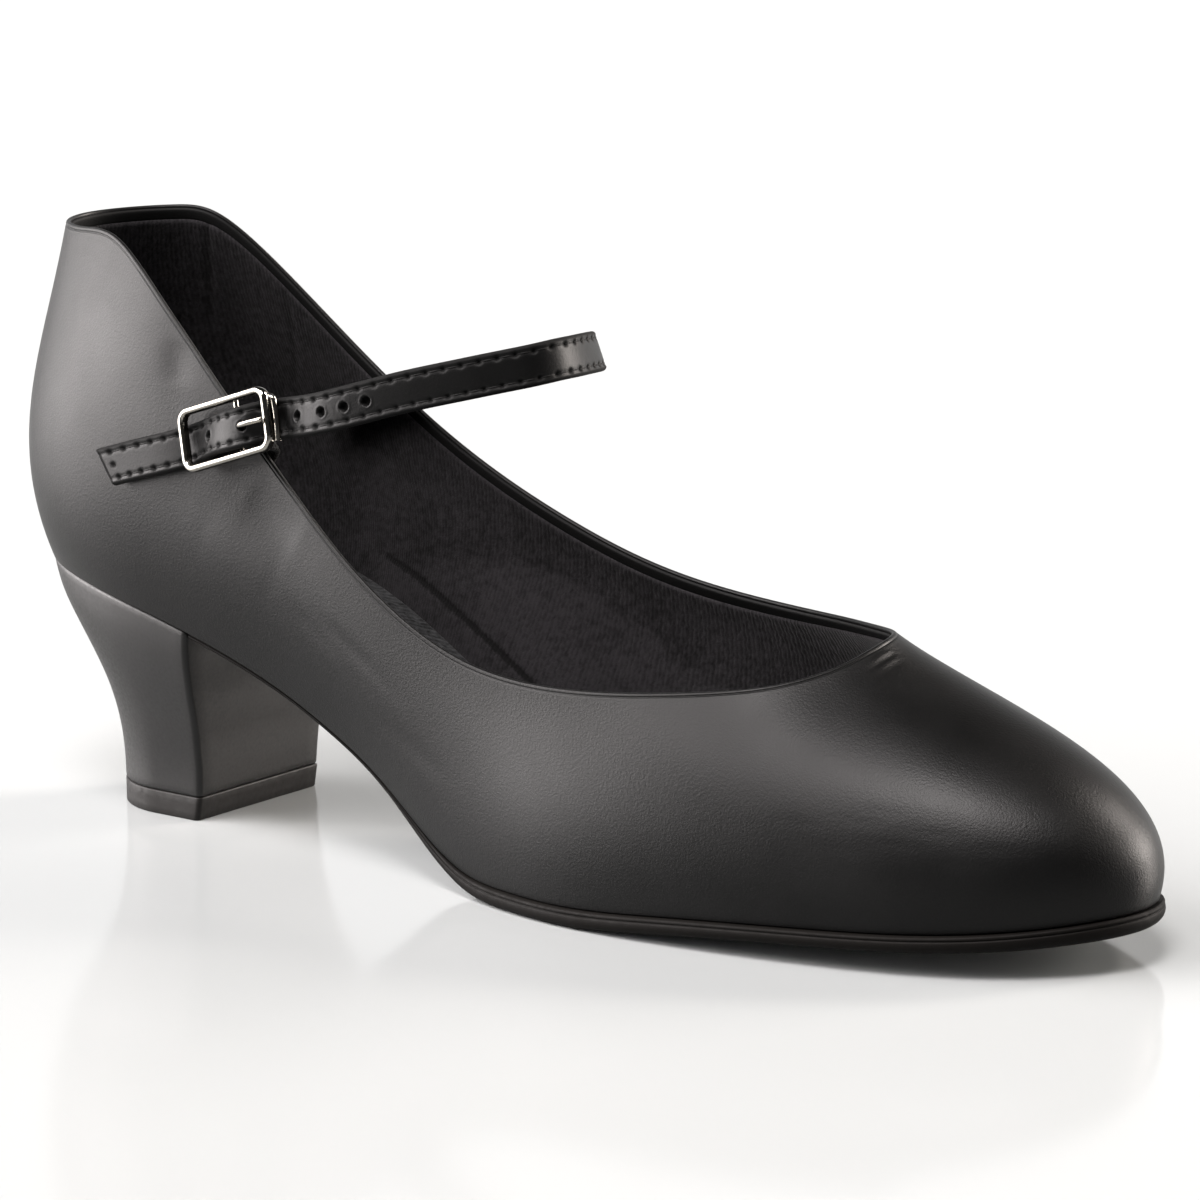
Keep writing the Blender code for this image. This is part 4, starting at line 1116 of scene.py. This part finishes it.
def set_surround(glow):
    """Even surround: pale near the horizon, paler behind the shoe, dim overhead."""
    world = bpy.data.worlds.new("studio")
    world.use_nodes = True
    links = world.node_tree.links
    shader = world.node_tree.nodes["Background"]
    shader.inputs["Color"].default_value = (1.0, 1.0, 1.0, 1.0)
    look = node(world, "ShaderNodeTexCoord").outputs["Generated"]
    height = node(world, "ShaderNodeSeparateXYZ", None, i0=look).outputs[2]
    behind = node(world, "ShaderNodeVectorMath", {"operation": "DOT_PRODUCT"}, i0=look,
                  i1=(-0.62, 0.785, 0.0)).outputs["Value"]
    low = ramp(world, height, 0.28, 0.42, 1.0, 0.0)
    side = ramp(world, behind, -0.6, 0.3, 0.25, 1.0)
    band = node(world, "ShaderNodeMath", {"operation": "MULTIPLY"}, i0=low, i1=side).outputs[0]
    links.new(sums(world, scaled(world, band, glow), node(
        world, "ShaderNodeValue").outputs[0]), shader.inputs["Strength"])
    world.node_tree.nodes["Value"].outputs[0].default_value = 0.05
    bpy.context.scene.world = world


def set_stage(floor_colour, glow):
    """Glossy floor, a grey that the strong lamps carry to white, the surround and the lamps."""
    m = finish("floor_white", floor_colour, 0.1, specular=0.15)
    where = coordinates(m)
    cloud = node(m, "ShaderNodeTexNoise", None, Vector=where, Scale=3.0).outputs["Fac"]
    link_to_shader(m, None, ramp(m, cloud, 0.3, 0.7, 0.08, 0.13))
    mesh = bpy.data.meshes.new("floor")
    mesh.from_pydata([(-25, -25, 0), (25, -25, 0), (25, 25, 0), (-25, 25, 0)], [], [(0, 1, 2, 3)])
    mesh.materials.append(m)
    floor = bpy.data.objects.new("floor", mesh)
    bpy.context.scene.collection.objects.link(floor)
    set_surround(glow)
    for lamp in LAMPS:
        set_light(*lamp)
    bpy.context.scene.view_settings.view_transform = "Standard"


# Add-on

def length_setting(name, description, default, low, high):
    """A length in metres with its limits."""
    return bpy.props.FloatProperty(name=name, description=description, default=default, min=low,
                                   max=high, subtype="DISTANCE", unit="LENGTH", precision=5)


def colour_setting(name, description, default):
    """A colour as linear red, green and blue."""
    return bpy.props.FloatVectorProperty(name=name, description=description, default=default,
                                         min=0.0, max=1.0, subtype="COLOR")


class ShoeSizes(bpy.types.PropertyGroup):
    """Sizes of the shoe's sewn and punched detail."""
    leather_thickness: length_setting(
        "Leather thickness", "Outer leather, rolled over at the topline", 0.00095, 0.0005, 0.0015)
    facing_width: length_setting(
        "Facing width", "Smooth strip inside the topline", 0.0023, 0.0015, 0.008)
    stitch_pitch: length_setting(
        "Stitch pitch", "From one pinhole of the strap to the next", 0.0032, 0.0015, 0.005)
    stitch_inset: length_setting(
        "Stitch inset", "From the strap's edge to its stitching", 0.0013, 0.001, 0.003)
    hole_radius: length_setting("Hole radius", "Punched holes of the strap", 0.0008, 0.0004, 0.0015)
    grain_size: length_setting("Grain size", "Pebbles of the leather's grain", 0.00045, 0.0002, 0.003)


class ShoeColours(bpy.types.PropertyGroup):
    """Colours and light."""
    leather: colour_setting("Leather", "Upper leather", (0.0008, 0.0008, 0.0008))
    strap: colour_setting("Strap", "Strap leather", (0.0008, 0.0008, 0.0008))
    heel: colour_setting("Heel cover", "Covering of the heel block", (0.0018, 0.0016, 0.0015))
    lining: colour_setting("Lining", "Brushed lining", (0.0042, 0.0039, 0.0043))
    sock: colour_setting("Sock", "Cloth of the sock", (0.0105, 0.0108, 0.0112))
    sole: colour_setting("Sole", "Sole and its edge", (0.0018, 0.0014, 0.0011))
    nickel: colour_setting("Nickel", "Buckle metal", (0.26, 0.246, 0.22))
    floor: colour_setting("Floor", "Studio floor", (0.232, 0.242, 0.242))
    glow: bpy.props.FloatProperty(
        name="Surround", description="Strength of the even light from all round", default=1.0,
        min=0.0, max=3.0, subtype="FACTOR")


class SHOE_OT_upper(bpy.types.Operator):
    """Make the outer leather with its rolled topline and creases"""
    bl_idname = "shoe.upper"
    bl_label = "Outer leather"

    def execute(self, context):
        sizes, colours = context.scene.shoe_sizes, context.scene.shoe_colours
        leather = leather_finish("black_leather", tuple(colours.leather), 0.37, sizes.grain_size,
                                 0.15, 0.32)
        make_upper_leather(leather, sizes.leather_thickness / MM)
        return {"FINISHED"}


class SHOE_OT_lining(bpy.types.Operator):
    """Make the facing strip, the lining and the sock"""
    bl_idname = "shoe.lining"
    bl_label = "Lining and sock"

    def execute(self, context):
        sizes, colours = context.scene.shoe_sizes, context.scene.shoe_colours
        facing = leather_finish("facing_leather", tuple(0.7 * c for c in colours.leather), 0.62,
                                sizes.grain_size, 0.12)
        cloth = cloth_finish("brushed_lining", tuple(colours.lining), 0.001)
        sock = cloth_finish("sock_cloth", tuple(colours.sock), 0.0012, 0.7)
        make_lining(facing, cloth, sizes.leather_thickness / MM, sizes.facing_width / MM)
        make_insole(sock)
        return {"FINISHED"}


class SHOE_OT_sole(bpy.types.Operator):
    """Make the sole, the heel block and its wearing layer"""
    bl_idname = "shoe.sole"
    bl_label = "Sole and heel"

    def execute(self, context):
        colours = context.scene.shoe_colours
        make_outsole(moulded_finish("black_sole", tuple(colours.sole), 0.62, 900.0, 0.4, 0.07))
        make_heel(moulded_finish("covered_heel", tuple(colours.heel), 0.46, 1600.0, 0.1, 0.31))
        make_top_lift(moulded_finish("black_rubber", (0.005, 0.0044, 0.004), 0.55, 900.0, 0.2, 0.17))
        return {"FINISHED"}


class SHOE_OT_strap(bpy.types.Operator):
    """Make the strap with its holes and stitching"""
    bl_idname = "shoe.strap"
    bl_label = "Strap"

    def execute(self, context):
        sizes, colours = context.scene.shoe_sizes, context.scene.shoe_colours
        leather = leather_finish("strap_leather", tuple(colours.strap), 0.36, sizes.grain_size,
                                 0.13, 0.2)
        thread = moulded_finish("black_thread", (0.0025, 0.0024, 0.0024), 0.6, 3000.0, 0.2, 0.12)
        make_strap(leather, thread, sizes.stitch_pitch / MM, sizes.stitch_inset / MM,
                   sizes.hole_radius / MM)
        return {"FINISHED"}


class SHOE_OT_buckle(bpy.types.Operator):
    """Make the buckle's frame, end bar and prong, and the elastic tab that holds it"""
    bl_idname = "shoe.buckle"
    bl_label = "Buckle"

    def execute(self, context):
        colours = context.scene.shoe_colours
        nickel = metal_finish("polished_nickel", tuple(colours.nickel))
        make_buckle(nickel)
        make_end_bar(nickel)
        make_prong(nickel)
        make_buckle_tab(cloth_finish("black_elastic", (0.004, 0.0038, 0.0038), 0.0008, 0.0, 0.05))
        return {"FINISHED"}


class SHOE_OT_stage(bpy.types.Operator):
    """Set the floor, the lamps and the camera"""
    bl_idname = "shoe.stage"
    bl_label = "Studio"

    def execute(self, context):
        colours = context.scene.shoe_colours
        set_stage(tuple(colours.floor), colours.glow)
        set_camera()
        return {"FINISHED"}


class SHOE_PT_panel(bpy.types.Panel):
    """Lists the shoe's sizes, colours and pieces"""
    bl_label = "Character shoe"
    bl_idname = "SHOE_PT_panel"
    bl_space_type = "VIEW_3D"
    bl_region_type = "UI"
    bl_category = "Shoe"

    def draw(self, context):
        for group in (context.scene.shoe_sizes, context.scene.shoe_colours):
            for name in group.__annotations__:
                self.layout.prop(group, name)
        for operator in OPERATORS:
            self.layout.operator(operator.bl_idname)


OPERATORS = (SHOE_OT_upper, SHOE_OT_lining, SHOE_OT_sole, SHOE_OT_strap, SHOE_OT_buckle,
             SHOE_OT_stage)
CLASSES = (ShoeSizes, ShoeColours) + OPERATORS + (SHOE_PT_panel,)


def register():
    """Register the classes and hang the property groups on the scene."""
    for cls in CLASSES:
        bpy.utils.register_class(cls)
    bpy.types.Scene.shoe_sizes = bpy.props.PointerProperty(type=ShoeSizes)
    bpy.types.Scene.shoe_colours = bpy.props.PointerProperty(type=ShoeColours)


def unregister():
    """Undo register."""
    del bpy.types.Scene.shoe_colours
    del bpy.types.Scene.shoe_sizes
    for cls in reversed(CLASSES):
        bpy.utils.unregister_class(cls)


def main():
    """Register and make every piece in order."""
    register()
    bpy.ops.shoe.upper()
    bpy.ops.shoe.lining()
    bpy.ops.shoe.sole()
    bpy.ops.shoe.strap()
    bpy.ops.shoe.buckle()
    bpy.ops.shoe.stage()


if __name__ == "__main__":
    main()
